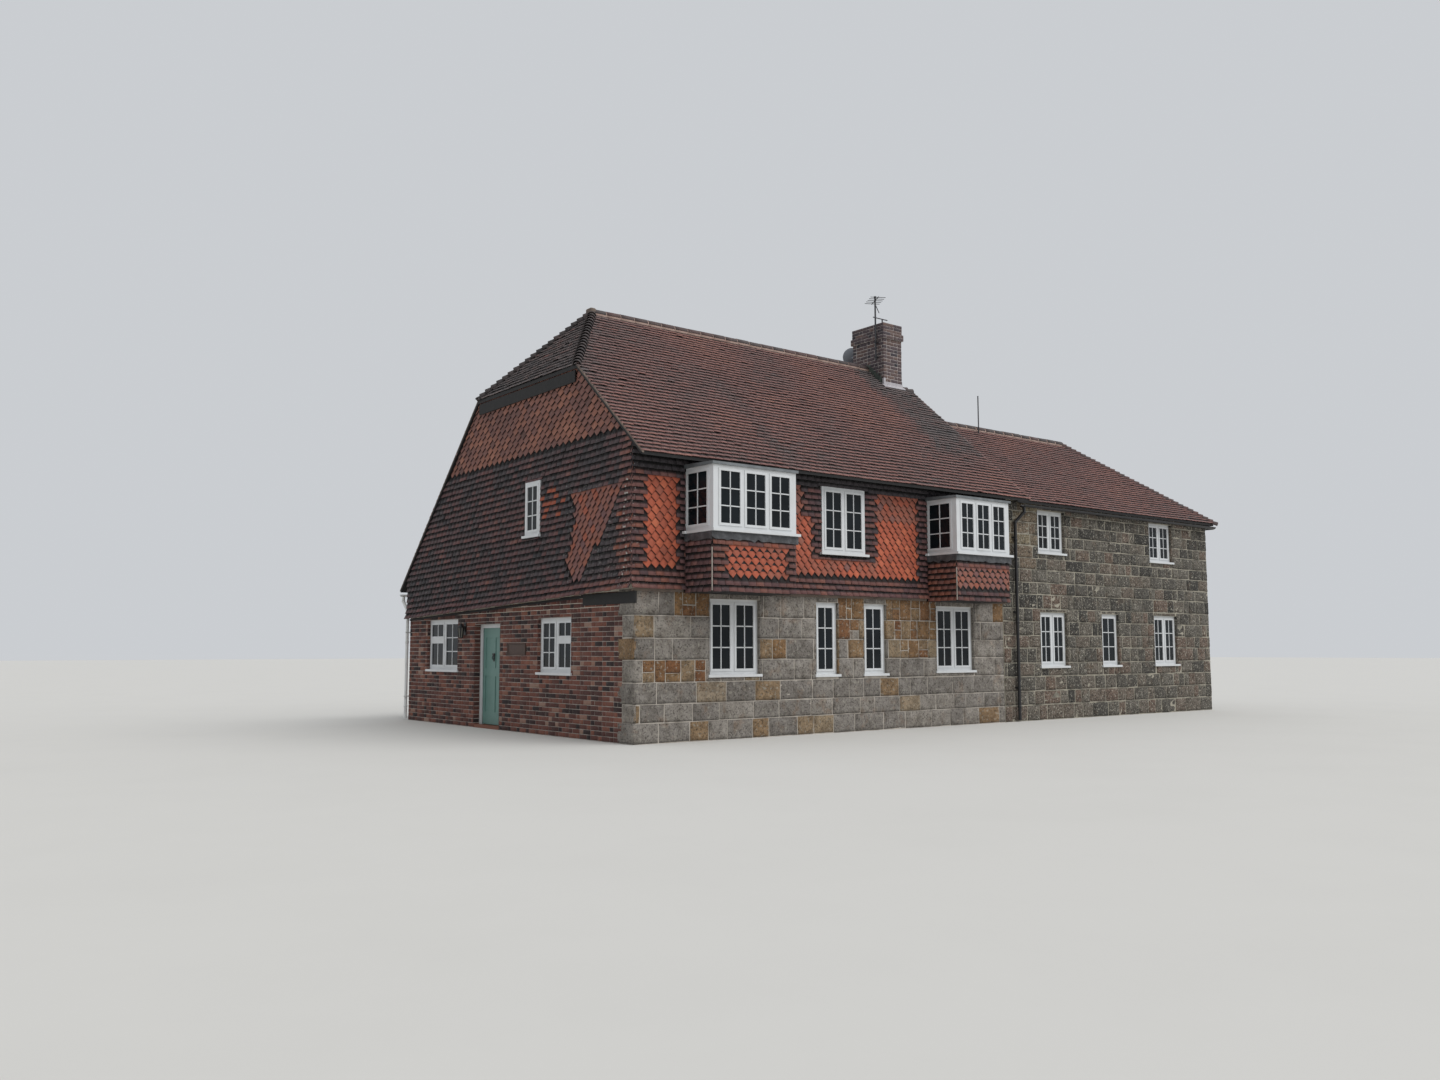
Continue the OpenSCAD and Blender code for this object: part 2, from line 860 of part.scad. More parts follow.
// Chimney: a stack on a breast that stands against the dividing wall
module chimney_stack() {
    color(c_brick) housed() difference() {
        union() {
            block([stack_x, stack_y, breast_top], [stack_x + stack_w, stack_y + stack_d, stack_z]);
            block([stack_x, stack_y, floor_z], [divide_x, stack_y + stack_d, breast_top]);
        }
        block([stack_x - past, stack_y - past, joist_z],
            [divide_x + past, stack_y + stack_d + past, upper_floor_z]);
        for (i = [0 : 1]) flue(i);
    }
}

flue_r = 110;

module flue(i) {
    translate([stack_x + stack_w / 2, stack_y + stack_d * (0.3 + 0.4 * i), stack_z - 1200])
        cylinder(h = 3000, r = flue_r);
}

// Two oversailing courses, and three above them that draw in
cap_outs = [38, 38, 12, 12, 12];

module chimney_cap() {
    outs = cap_outs;
    band = (cap_z - stack_z) / len(outs);
    color(c_brick) housed() difference() {
        union() for (i = [0 : len(outs) - 1])
            block([stack_x - outs[i], stack_y - outs[i], stack_z + i * band],
                [stack_x + stack_w + outs[i], stack_y + stack_d + outs[i], stack_z + (i + 1) * band]);
        for (i = [0 : 1]) flue(i);
    }
}

lead_t = 12;
lead_up = 160;
apron_lip = 110;
apron_side = 90;

// Upstands round the stack, and an apron that laps the tiles in front of it
module chimney_flashing() {
    foot = front_z(stack_y);
    lip = front_z(stack_y - apron_lip);
    color(c_lead) housed() difference() {
        union() {
            intersection() {
                stack_hole(lead_t);
                main_space(-lead_up);
            }
            along_x([
                [stack_y, foot + lead_up], [stack_y - lead_t, foot + lead_up],
                [stack_y - apron_lip, lip + 24], [stack_y - apron_lip, lip - cover],
                [stack_y, foot - cover]
            ], stack_x - apron_side, stack_x + stack_w + apron_side);
        }
        main_space(cover - bed);
        stack_hole();
    }
}

// Oriels: local origin at the left side and the face of the main tiles
apron_t = 100;
apron_in = 25;

module oriel_apron(x, w, z) {
    out = oriel_out - apron_in;
    difference() {
        union() {
            block([x, -out, hang_z - 50], [x + w, hang_t, z - sill_h]);
            block([x, 0, hang_z - 50], [x + w, stone_set, upper_floor_z]);
        }
        block([x + apron_t, apron_t - out, upper_floor_z],
            [x + w - apron_t, far, z]);
    }
}

module oriel_aprons() {
    color(c_hung) housed() {
        oriel_apron(oriel_a_x, oriel_a_w, oriel_a_z);
        oriel_apron(oriel_b_x, oriel_b_w, oriel_b_z);
    }
}

// Front lights of an oriel, as a window row, and the light in each side
post_side = oriel_post - frame_w;
function oriel_front(x, w, z) = [x + post_side, z, w - 2 * post_side, oriel_h, 3];
function oriel_side(z) = [0, z, oriel_out - frame_t + hang_t, oriel_h, 1];

module oriel_frame(x, w, z) {
    translate([0, -oriel_out, 0]) window_frame(oriel_front(x, w, z), 0, 0, 0);
    for (px = [x, x + w - post_side])
        block([px, -oriel_out, z], [px + post_side, frame_t - oriel_out, z + oriel_h]);
    // Left return
    translate([x, hang_t, 0]) rotate([0, 0, -90]) window_frame(oriel_side(z), 0, 0, 0);
    // Right return
    translate([x + w, frame_t - oriel_out, 0]) rotate([0, 0, 90])
        window_frame(oriel_side(z), 0, 0, 0);
    // Sill with a horn at each end where it meets the wall
    difference() {
        union() {
            block([x - 50, -oriel_out - sill_lip, z - sill_h], [x + w + 50, 0, z]);
            block([x - 80, -70, z - sill_h], [x + w + 120, 0, z]);
            block([x, -70, z - sill_h], [x + w, hang_t, z]);
        }
        block([x + oriel_post, oriel_post - oriel_out, 0], [x + w - oriel_post, far, far]);
    }
}

module oriel_frames() {
    color(c_white) housed() {
        oriel_frame(oriel_a_x, oriel_a_w, oriel_a_z);
        oriel_frame(oriel_b_x, oriel_b_w, oriel_b_z);
    }
}

module oriel_panes(x, w, z) {
    translate([0, -oriel_out, 0]) window_glass(oriel_front(x, w, z));
    translate([x, hang_t, 0]) rotate([0, 0, -90]) window_glass(oriel_side(z));
    translate([x + w, frame_t - oriel_out, 0]) rotate([0, 0, 90]) window_glass(oriel_side(z));
}

module oriel_glass() {
    color(c_glass) housed() {
        oriel_panes(oriel_a_x, oriel_a_w, oriel_a_z);
        oriel_panes(oriel_b_x, oriel_b_w, oriel_b_z);
    }
}

module oriel_roof(x, w, z) {
    head = z + oriel_h;
    along_x([
        [-oriel_out - lead_lip, head], [-oriel_out - lead_lip, head + oriel_roof_t - 10],
        [hang_t, head + oriel_roof_t + lead_fall], [hang_t, head]
    ], x - lead_lip, x + w + lead_lip);
}

module oriel_roofs() {
    color(c_lead) housed() {
        oriel_roof(oriel_a_x, oriel_a_w, oriel_a_z);
        oriel_roof(oriel_b_x, oriel_b_w, oriel_b_z);
    }
}

// Windows
module main_window_frames() {
    color(c_white) housed() {
        for (w = ground_windows)
            translate([0, stone_set + reveal, 0]) window_frame(w, reveal, 40, 40);
        window_frame(casement, 0, 60, 60);
    }
}

module main_window_glass() {
    color(c_glass) housed() {
        for (w = ground_windows) translate([0, stone_set + reveal, 0]) window_glass(w);
        window_glass(casement);
    }
}

module wing_window_frames() {
    color(c_white) housed() {
        for (w = wing_windows)
            translate([0, wing_set + reveal, 0]) window_frame(w, reveal, 45, 50);
        for (w = wing_rear_windows)
            on_rear(w, wing_y1 - reveal) window_frame(home(w), reveal, 45, 50);
    }
}

module wing_window_glass() {
    color(c_glass) housed() {
        for (w = wing_windows) translate([0, wing_set + reveal, 0]) window_glass(w);
        for (w = wing_rear_windows) on_rear(w, wing_y1 - reveal) window_glass(home(w));
    }
}

module gable_window_frames() {
    color(c_white) housed() {
        for (w = [gable_window_right, gable_window_left])
            on_gable(w, brick_set + reveal) window_frame(home(w), reveal, 35, 40);
        on_gable(gable_window_up, 0) window_frame(home(gable_window_up), 0, 50, 40);
    }
}

module rear_window_frames() {
    color(c_white) housed()
        for (w = rear_windows)
            on_rear(w, main_depth - reveal) window_frame(home(w), reveal, 35, 40);
}

module gable_and_rear_glass() {
    color(c_glass) housed() {
        for (w = [gable_window_right, gable_window_left])
            on_gable(w, brick_set + reveal) window_glass(home(w));
        on_gable(gable_window_up, 0) window_glass(home(gable_window_up));
        for (w = rear_windows) on_rear(w, main_depth - reveal) window_glass(home(w));
    }
}

// Door
door_x = brick_set + door_set;
post_w = 70;
stop_t = 20;

module door_frame() {
    y0 = door_y - door_w;
    x1 = door_x + leaf_t - 8;
    color(c_white) housed() difference() {
        block([door_x - 32, y0, floor_z], [x1, door_y, door_h]);
        block([door_x - leaf_gap, y0 + post_w, 0], [far, door_y - post_w, door_h - 50]);
        block([-far, y0 + post_w + stop_t, 0], [far, door_y - post_w - stop_t, door_h - 50 - stop_t]);
    }
}

module front_door() {
    y0 = door_y - door_w + post_w + leaf_gap;
    y1 = door_y - post_w - leaf_gap;
    z0 = floor_z + 10;
    z1 = door_h - 50 - leaf_gap;
    mid = (y0 + y1) / 2;
    color(c_mint) housed() {
        difference() {
            block([door_x, y0, z0], [door_x + leaf_t, y1, z1]);
            for (side = [-1, 1], row = [0, 1])
                block([door_x - past, mid + side * 210 - 150, z0 + 240 + row * 860],
                    [door_x + 12, mid + side * 210 + 150, z0 + 940 + row * 760]);
        }
        for (z = [250, 1000, 1750]) butt_hinge(y1, z);
    }
}

// A hinge on the inner face, with its barrel round the line that the door turns on
hinge_r = 8;
hinge_h = 90;
hinge_out = 8;
hinge_back = 5;

module butt_hinge(edge, z) {
    face = door_x + leaf_t;
    translate([face + hinge_out, edge + hinge_back, z])
        cylinder(h = hinge_h, r = hinge_r, $fn = 24);
    block([face - 1, edge - 60, z], [face + 3, edge + hinge_back, z + hinge_h]);
}

// Rainwater goods
module trough(length, r) {
    rotate([0, 90, 0]) difference() {
        cylinder(h = length, r = r);
        translate([0, 0, -past]) cylinder(h = length + 2 * past, r = r - 5);
        translate([-2 * r, -2 * r, -past]) cube([2 * r, 4 * r, length + 2 * past]);
    }
}

gutter_z = wing_eave_z - cover - board - 15;
gutter_out = 10;

// A gutter carried on brackets that reach back to the wall
module gutter(length, reach, brackets) {
    trough(length, gutter_r);
    for (i = [0 : brackets - 1])
        translate([150 + i * (length - 330) / (brackets - 1), gutter_r - 4, -30])
            cube([30, reach - gutter_r + 4, 24]);
}

module wing_gutters() {
    reach = wing_eave_out + gutter_out;
    color(c_black) housed() {
        translate([main_len + 110, wing_eave_y - gutter_out, gutter_z])
            gutter(wing_len, reach, 9);
        translate([main_len + 110 + wing_len, wing_rear_eave + gutter_out, gutter_z])
            rotate([0, 0, 180]) gutter(wing_len, reach, 9);
        translate([wing_eave_x + gutter_out, wing_eave_y + 60, gutter_z]) rotate([0, 0, 90])
            gutter(wing_rear_eave - wing_eave_y - 120, reach, 6);
    }
}

pipe_r = 34;
pipe_x = main_len - 15;
pipe_y = wing_set - 75;

// A round pipe through a list of points, with a socket at each bend
module pipe(points, r) {
    n = len(points);
    for (i = [0 : n - 2]) rod(points[i], points[i + 1], r);
    for (i = [1 : n - 2]) translate(points[i]) sphere(r = r + 7);
}

module black_downpipe() {
    x = pipe_x + 170;
    y = wing_eave_y - gutter_out;
    bend = 4240;
    color(c_black) housed() {
        pipe([
            [pipe_x, pipe_y, 30], [pipe_x, pipe_y, bend],
            [x, y, bend + 220], [x, y, gutter_z - gutter_r - 1]
        ], pipe_r);
        for (z = [700, 2300, 3900])
            block([pipe_x - 60, pipe_y + pipe_r - 8, z], [pipe_x + 60, wing_set, z + 30]);
    }
}

module rear_gutter() {
    color(c_white) housed()
        translate([main_len - 20, rear_eave_y + gutter_out, rear_eave_z - cover - board - 15])
            rotate([0, 0, 180])
                gutter(main_len + verge_out - 40, rear_eave_y + gutter_out - main_depth, 9);
}

module white_downpipe() {
    x = 60;
    y = main_depth + 60;
    top = rear_eave_z - cover - board - 15 - gutter_r - 1;
    color(c_white) housed() {
        pipe([
            [x, y, 30], [x, y, top - 330], [x, rear_eave_y + gutter_out, top - 100],
            [x, rear_eave_y + gutter_out, top]
        ], pipe_r);
        for (z = [500, 1900])
            block([x - 60, main_depth, z], [x + 60, y - pipe_r + 8, z + 30]);
    }
}

// Aerials, dish, lantern and name board
mast_r = 20;
mast_top = 9810;
boom_turn = 30;
boom_z = 9720;
arm_z = 9310;

// A mast strapped to the stack, with a comb of elements on a boom near its top,
// a stay below that, and an arm to a post on the cap
module roof_aerials() {
    mast = [stack_x - 70, stack_y + 180, 0];
    wing_mast = [main_len + 1730, wing_ridge_y - 180, 0];
    color(c_lead) housed() {
        for (z = [8350, 8700]) block(mast + [-28, -28, z], mast + [70, 28, z + 30]);
        rod(mast + [0, 0, 8290], mast + [0, 0, mast_top], mast_r);
        rod(mast + [0, 0, mast_top - 30], mast + [0, 0, mast_top + 10], mast_r + 10);
        translate(mast + [0, 0, boom_z]) rotate([0, 0, -boom_turn]) {
            rod([0, -300, 0], [0, 300, 0], 10);
            for (i = [-2 : 2]) rod([-180, i * 130, 0], [180, i * 130, 0], 7);
        }
        rod(mast + [0, 0, 9640], mast + [130, 0, 9440], 9);
        rod(mast + [-70, 0, arm_z], mast + [400, 0, arm_z], 12);
        rod(mast + [230, 0, cap_z], mast + [230, 0, arm_z], 16);
        difference() {
            rod(wing_mast + [0, 0, 6600], wing_mast + [0, 0, 7640], 14);
            under_wing(cover - bed);
        }
    }
}

dish_r = 230;
dish_curve = 420;
dish_t = 12;

// A dish on an arm from the rear of the stack; it faces away from the front
module satellite_dish() {
    centre = [stack_x + 330, stack_y + stack_d + 370, 8655];
    tilt = 70;
    turn = 45;
    back = 130;
    elbow = centre - back * [sin(tilt) * cos(turn), sin(tilt) * sin(turn), cos(tilt)];
    color(c_lead) housed() {
        translate(centre) rotate([0, tilt, turn]) {
            difference() {
                intersection() {
                    translate([0, 0, dish_curve - dish_t]) sphere(r = dish_curve);
                    translate([0, 0, -2 * dish_t]) cylinder(h = dish_r, r = dish_r);
                }
                translate([0, 0, dish_curve - dish_t]) sphere(r = dish_curve - dish_t);
            }
            rod([0, 0, -back], [0, 0, -dish_t / 2], 18);
        }
        rod([elbow[0], stack_y + stack_d, elbow[2]], elbow + [0, 12, 0], 18);
    }
}

module wall_lantern() {
    y = 6200;
    x = brick_set - 105;
    color(c_black) housed() {
        block([brick_set - 20, y - 50, 1830], [brick_set, y + 50, 2080]);
        block([x - 8, y - 8, 2040], [brick_set - 20, y + 8, 2056]);
        translate([x, y, 1780]) cylinder(h = 200, r1 = 45, r2 = 68);
        translate([x, y, 1980]) cylinder(h = 76, r1 = 72, r2 = 12);
    }
}

module name_board() {
    color(c_black) housed()
        block([brick_set - 18, 3640, 1430], [brick_set, 4350, 1650]);
}

main_front_wall();
gable_wall_front();
gable_wall_rear();
gable_wall_over_door();
main_rear_wall();
dividing_wall();
front_upper_wall();
gable_upper_wall();
front_tile_hanging();
gable_tile_hanging();
half_hip_fascia();
ground_floors();
first_floors();
wing_front_wall();
wing_end_wall();
wing_rear_wall();
main_front_slope();
main_rear_slope();
left_half_hip();
right_half_hip();
wing_front_slope();
wing_rear_slope();
wing_hip_slope();
ridge_tiles();
hip_tiles();
chimney_stack();
chimney_cap();
chimney_flashing();
oriel_aprons();
oriel_frames();
oriel_glass();
oriel_roofs();
main_window_frames();
main_window_glass();
wing_window_frames();
wing_window_glass();
gable_window_frames();
rear_window_frames();
gable_and_rear_glass();
door_frame();
front_door();
wing_gutters();
black_downpipe();
rear_gutter();
white_downpipe();
roof_aerials();
satellite_dish();
wall_lantern();
name_board();
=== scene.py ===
"""Looks of a tile-hung farmhouse with a lower stone wing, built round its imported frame."""
import math

import bpy
import numpy as np
from mathutils import Matrix, Vector, noise


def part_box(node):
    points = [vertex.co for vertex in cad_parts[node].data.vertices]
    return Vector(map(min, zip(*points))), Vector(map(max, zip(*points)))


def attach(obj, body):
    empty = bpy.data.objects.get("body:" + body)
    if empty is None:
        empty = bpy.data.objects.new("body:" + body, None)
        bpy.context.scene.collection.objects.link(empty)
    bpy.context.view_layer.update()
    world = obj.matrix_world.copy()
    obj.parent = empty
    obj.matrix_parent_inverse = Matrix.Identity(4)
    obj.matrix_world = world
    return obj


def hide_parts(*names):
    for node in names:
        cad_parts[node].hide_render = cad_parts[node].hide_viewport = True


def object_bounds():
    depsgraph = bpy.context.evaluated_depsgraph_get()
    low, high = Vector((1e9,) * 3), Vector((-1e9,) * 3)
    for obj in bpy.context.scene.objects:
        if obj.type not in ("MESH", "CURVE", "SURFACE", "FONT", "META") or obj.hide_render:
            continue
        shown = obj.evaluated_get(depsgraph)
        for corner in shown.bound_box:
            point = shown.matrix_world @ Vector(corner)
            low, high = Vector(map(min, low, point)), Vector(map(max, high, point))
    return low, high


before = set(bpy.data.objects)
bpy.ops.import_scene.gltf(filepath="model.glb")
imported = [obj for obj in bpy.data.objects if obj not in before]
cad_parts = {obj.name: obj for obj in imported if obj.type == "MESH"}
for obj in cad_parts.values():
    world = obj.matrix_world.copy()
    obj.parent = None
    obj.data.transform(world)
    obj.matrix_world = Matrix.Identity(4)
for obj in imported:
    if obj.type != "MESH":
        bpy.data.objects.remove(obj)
cad_low, cad_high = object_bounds()
bpy.ops.object.select_all(action="DESELECT")

# The house's own axes: X along the front from the near tile-hung corner, Y back, Z up, in metres.
KICK = 0.08
CORNER = Vector((
    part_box("gable_tile_hanging")[0].x + KICK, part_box("front_tile_hanging")[0].y + KICK, 0.0,
))

# Main block
MAIN_LEN = 9.87
MAIN_DEPTH = 8.95
STONE_SET = 0.07
BRICK_SET = 0.11
HANG_T = 0.045
KICK_H = 0.24
HANG_Z = 2.52
HANG_REAR_Z = 2.21
HANG_FALL = (HANG_Z - HANG_REAR_Z) / MAIN_DEPTH
# Main roof
EAVE_Y = -0.36
EAVE_Z = 4.73
FRONT_PITCH = 0.881
REAR_EAVE_Y = 9.25
REAR_EAVE_Z = 2.88
REAR_PITCH = 0.9945
LEFT_VERGE = -0.03
RIGHT_VERGE = 9.96
LEFT_HIP_Z = 6.56
RIGHT_HIP_Z = 7.69
LEFT_HIP_RUN = 1.45
RIGHT_HIP_RUN = 0.6
SHOULDER_RISE = 0.05
RIDGE_Z = 8.18
# Wing
WING_X1 = 17.67
WING_Y0 = 0.06
WING_Y1 = 4.98
WING_EAVE_OUT = 0.18
WING_EAVE_Z = 4.74
WING_RIDGE_Z = 6.88
WING_HIP_RUN = 2.8
# Oriels: left side, width, height of the sill
ORIELS = ((1.104, 1.806, 3.5), (7.095, 1.6, 3.42))
ORIEL_OUT = 0.75
ORIEL_H = 1.06
ORIEL_POST = 0.11
APRON_IN = 0.025
SILL_H = 0.045
FRAME_W = 0.055
FRAME_T = 0.07
SASH_W = 0.042
# How far the window frames stand back in the stone and brick
REVEAL = 0.055
# Chimney
STACK = (9.04, 3.0, 0.6, 1.0)
STACK_Z = 8.8
CAP_Z = 9.17
CAP_OUTS = (0.038, 0.038, 0.012, 0.012, 0.012)
# Door: its rear side, the doorway's width and height, and how far the door stands back
DOOR_Y = 5.76
DOOR_W = 1.07
DOOR_H = 2.03
DOOR_SET = 0.15


def front_y(z):
    """Where the front slope reaches a height."""
    return (z - EAVE_Z) / FRONT_PITCH + EAVE_Y


RIDGE_Y = front_y(RIDGE_Z)
# The rear slope eases at a knee, level with the eaves of the left half-hip
KNEE_Y = REAR_EAVE_Y - (LEFT_HIP_Z - REAR_EAVE_Z) / REAR_PITCH
UPPER_PITCH = (RIDGE_Z - LEFT_HIP_Z) / (KNEE_Y - RIDGE_Y)


def rear_y(z):
    """Where the rear slope reaches a height."""
    if z < LEFT_HIP_Z:
        return REAR_EAVE_Y - (z - REAR_EAVE_Z) / REAR_PITCH
    return RIDGE_Y + (RIDGE_Z - z) / UPPER_PITCH


def roof_z(y):
    """Height of the main roof over a line along the house."""
    if y < RIDGE_Y:
        return EAVE_Z + FRONT_PITCH * (y - EAVE_Y)
    if y < KNEE_Y:
        return RIDGE_Z - UPPER_PITCH * (y - RIDGE_Y)
    return REAR_EAVE_Z + REAR_PITCH * (REAR_EAVE_Y - y)


# Outlines of the half-hips along the house, from the verge up to the ridge
LEFT_LINE = ((LEFT_VERGE, LEFT_HIP_Z), (LEFT_VERGE + LEFT_HIP_RUN, RIDGE_Z))
RIGHT_LINE = (
    (RIGHT_VERGE, RIGHT_HIP_Z), (STACK[0] + STACK[2], RIGHT_HIP_Z + SHOULDER_RISE),
    (RIGHT_VERGE - RIGHT_HIP_RUN, RIDGE_Z),
)
WING_RIDGE_Y = (WING_Y0 + WING_Y1) / 2
WING_EAVE_Y = WING_Y0 - WING_EAVE_OUT
WING_EAVE_X = WING_X1 + WING_EAVE_OUT
WING_HIP_X = WING_EAVE_X - WING_HIP_RUN

# Windows: left side, frame bottom, width, height, lights
GROUND_WINDOWS = (
    (1.656, 1.1, 1.1, 1.29, 2), (4.107, 1.07, 0.557, 1.32, 1),
    (5.344, 1.07, 0.596, 1.32, 1), (7.373, 1.1, 1.133, 1.29, 2),
)
CASEMENT = (4.22, 3.315, 1.11, 1.225, 2)
WING_WINDOWS = (
    (10.725, 3.652, 0.948, 0.928, 2), (15.087, 3.652, 0.968, 0.928, 2),
    (10.739, 1.161, 0.946, 1.169, 2), (13.024, 1.161, 0.657, 1.169, 1),
    (15.173, 1.161, 0.993, 1.169, 2),
)
WING_REAR_WINDOWS = (
    (11.2, 3.652, 0.948, 0.928, 2), (15.087, 3.652, 0.948, 0.928, 2),
    (11.2, 1.161, 0.948, 1.169, 2), (15.087, 1.161, 0.948, 1.169, 2),
)
# Gable windows start from their rear side
GABLE_WINDOW_UP = (3.57, 3.63, 0.56, 1.0, 1)
GABLE_WINDOW_RIGHT = (3.2, 1.12, 1.17, 0.98, 2)
GABLE_WINDOW_LEFT = (8.01, 1.12, 1.47, 1.04, 2)
REAR_WINDOWS = ((1.5, 1.15, 1.1, 1.05, 2), (4.4, 1.15, 1.1, 1.05, 2), (7.2, 1.15, 1.1, 1.05, 2))

# Clay tiles
TILE_W = 0.165
TILE_T = 0.02
TILE_LEN = 0.18
POINTED_LEN = 0.21
TILE_JOINT = 0.004
ROOF_GAUGE = 0.116
WING_GAUGE = 0.11
HANG_GAUGE = 0.1105
BAND_W = 0.21
TAIL_POINT = 0.078
# Nothing narrower than this is hung on a wall
SLIVER = 0.025
# Bricks
BRICK_COURSE = 0.083
BRICK_JOINT = 0.011
STRETCHER = 0.226
HEADER = 0.108
BRICK_RIM = 0.006
BRICK_PROUD = 0.008
BRICK_IN = 0.03
BRICK_END = 0.0075
# Stones
STONE_RIM = 0.009
STONE_PROUD = 0.009
STONE_IN = 0.04
STONE_END = 0.0085
ASHLAR_JOINT = 0.014
RUBBLE_JOINT = 0.021
# Blocks on the sides of openings: depth at a window and at the doorway, run past the edge,
# half a joint, stand, and reach into the wall
WINDOW_JAMB = 0.054
DOOR_JAMB = 0.117
JAMB_END = 0.0072
JAMB_GAP = 0.004
JAMB_PROUD = 0.004
JAMB_IN = 0.03
# The lowest course stays this far off the ground
GROUND_GAP = 0.004


def held(value, low, high):
    """A value kept between two limits."""
    return min(max(value, low), high)


# Modelling helpers
def active(obj):
    """Makes one object the only one that operators act on."""
    if bpy.context.object and bpy.context.object.mode != "OBJECT":
        bpy.ops.object.mode_set(mode="OBJECT")
    bpy.ops.object.select_all(action="DESELECT")
    bpy.context.view_layer.objects.active = obj
    obj.select_set(True)
    return obj


def block(name, low, high):
    """A box added at its size and place, ready to be shaped."""
    low, high = Vector(low), Vector(high)
    bpy.ops.object.select_all(action="DESELECT")
    bpy.ops.mesh.primitive_cube_add(size=1, location=(low + high) / 2, scale=high - low)
    obj = bpy.context.object
    obj.name = name
    bpy.ops.object.transform_apply(location=True, rotation=True, scale=True)
    return obj


def pick(obj, kind, test):
    """Goes into edit mode with only those vertices, edges or faces selected that pass a test."""
    active(obj)
    mesh = obj.data
    for part in (mesh.vertices, mesh.edges, mesh.polygons):
        part.foreach_set("select", np.zeros(len(part), bool))
    points = mesh.vertices
    if kind == "VERT":
        for v in points:
            v.select = test(v.co)
    elif kind == "EDGE":
        for e in mesh.edges:
            e.select = test(points[e.vertices[0]].co, points[e.vertices[1]].co)
    else:
        for p in mesh.polygons:
            p.select = test(p.center, p.normal)
    bpy.ops.object.mode_set(mode="EDIT")
    bpy.ops.mesh.select_mode(type=kind)


def done():
    """Leaves edit mode."""
    bpy.ops.object.mode_set(mode="OBJECT")


def shift(obj, test, move):
    """Moves the vertices that pass a test."""
    pick(obj, "VERT", test)
    bpy.ops.transform.translate(value=move)
    done()


def bevel(obj, width, segments=1, test=lambda a, b: True):
    """Softens the edges whose two ends pass a test."""
    pick(obj, "EDGE", test)
    bpy.ops.mesh.bevel(offset=width, segments=segments, affect="EDGES")
    done()


def cut(obj, point, normal):
    """Takes away what lies on the normal's side of a plane and closes what was cut."""
    active(obj)
    bpy.ops.object.mode_set(mode="EDIT")
    bpy.ops.mesh.select_all(action="SELECT")
    bpy.ops.mesh.bisect(plane_co=point, plane_no=normal, clear_outer=True)
    bpy.ops.mesh.fill_holes(sides=0)
    done()


def join(name, pieces):
    """Joins separate pieces into one object."""
    active(pieces[0])
    for p in pieces[1:]:
        p.select_set(True)
    if len(pieces) > 1:
        bpy.ops.object.join()
    pieces[0].name = pieces[0].data.name = name
    return pieces[0]


def boxes(name, corners, width):
    """Several boxes with softened edges as one piece."""
    whole = join(name, [block(name, low, high) for low, high in corners])
    bevel(whole, width)
    return whole


def rod(name, a, b, radius, sides=12):
    """A round bar between two points."""
    a, b = Vector(a), Vector(b)
    bpy.ops.object.select_all(action="DESELECT")
    bpy.ops.mesh.primitive_cylinder_add(vertices=sides, radius=radius, depth=(b - a).length)
    obj = bpy.context.object
    obj.name = name
    turn = (b - a).to_track_quat("Z", "Y").to_matrix().to_4x4()
    obj.data.transform(Matrix.Translation((a + b) / 2) @ turn)
    return obj


def ragged(obj, axis, cuts, test, reach, seed):
    """Cuts a strip across its length and moves the points that pass a test unevenly up or down."""
    pick(obj, "EDGE", lambda a, b: abs(a[axis] - b[axis]) > 0.3)
    bpy.ops.mesh.subdivide(number_cuts=cuts)
    done()
    for v in obj.data.vertices:
        if test(v.co):
            v.co.z += reach * noise.noise(Vector((v.co[axis] * 9, seed, 0)))


def fillet_run(name, outline, start, end, side):
    """A strip such as a fillet: four corners in (side, Z), run between two points."""
    start, end, side = Vector(start), Vector(end), Vector(side)
    bpy.ops.object.select_all(action="DESELECT")
    bpy.ops.mesh.primitive_plane_add(size=1)
    obj = bpy.context.object
    obj.name = name
    for index, (a, b) in zip(obj.data.polygons[0].vertices, outline):
        obj.data.vertices[index].co = start + side * a + Vector((0, 0, b))
    pick(obj, "FACE", lambda c, n: True)
    bpy.ops.mesh.extrude_region_move(TRANSFORM_OT_translate={"value": end - start})
    bpy.ops.mesh.select_all(action="SELECT")
    bpy.ops.mesh.normals_make_consistent(inside=False)
    done()
    return obj


def arrays(obj):
    """Points, corner counts and corners of a modelled piece, which then leaves the scene."""
    mesh = obj.data
    points = np.empty(len(mesh.vertices) * 3)
    mesh.vertices.foreach_get("co", points)
    totals = np.empty(len(mesh.polygons), int)
    mesh.polygons.foreach_get("loop_total", totals)
    corners = np.empty(len(mesh.loops), int)
    mesh.loops.foreach_get("vertex_index", corners)
    bpy.data.objects.remove(obj)
    return points.reshape(-1, 3), totals, corners


def joined(name, base, points, tone):
    """One mesh from the copies of a base piece, with a tone for each copy's vertices."""
    _, totals, corners = base
    count, size = points.shape[:2]
    mesh = bpy.data.meshes.new(name)
    mesh.vertices.add(count * size)
    mesh.vertices.foreach_set("co", points.ravel())
    mesh.loops.add(count * len(corners))
    mesh.loops.foreach_set("vertex_index", (np.arange(count)[:, None] * size + corners).ravel())
    first = np.concatenate([[0], np.cumsum(totals)[:-1]])
    mesh.polygons.add(count * len(totals))
    mesh.polygons.foreach_set(
        "loop_start", (np.arange(count)[:, None] * len(corners) + first).ravel())
    mesh.update(calc_edges=True)
    mesh.attributes.new("tone", "FLOAT_COLOR", "POINT").data.foreach_set("color", tone.ravel())
    obj = bpy.data.objects.new(name, mesh)
    bpy.context.scene.collection.objects.link(obj)
    return obj


# A piece stays this far inside the frame's own box
INSIDE = 0.0005


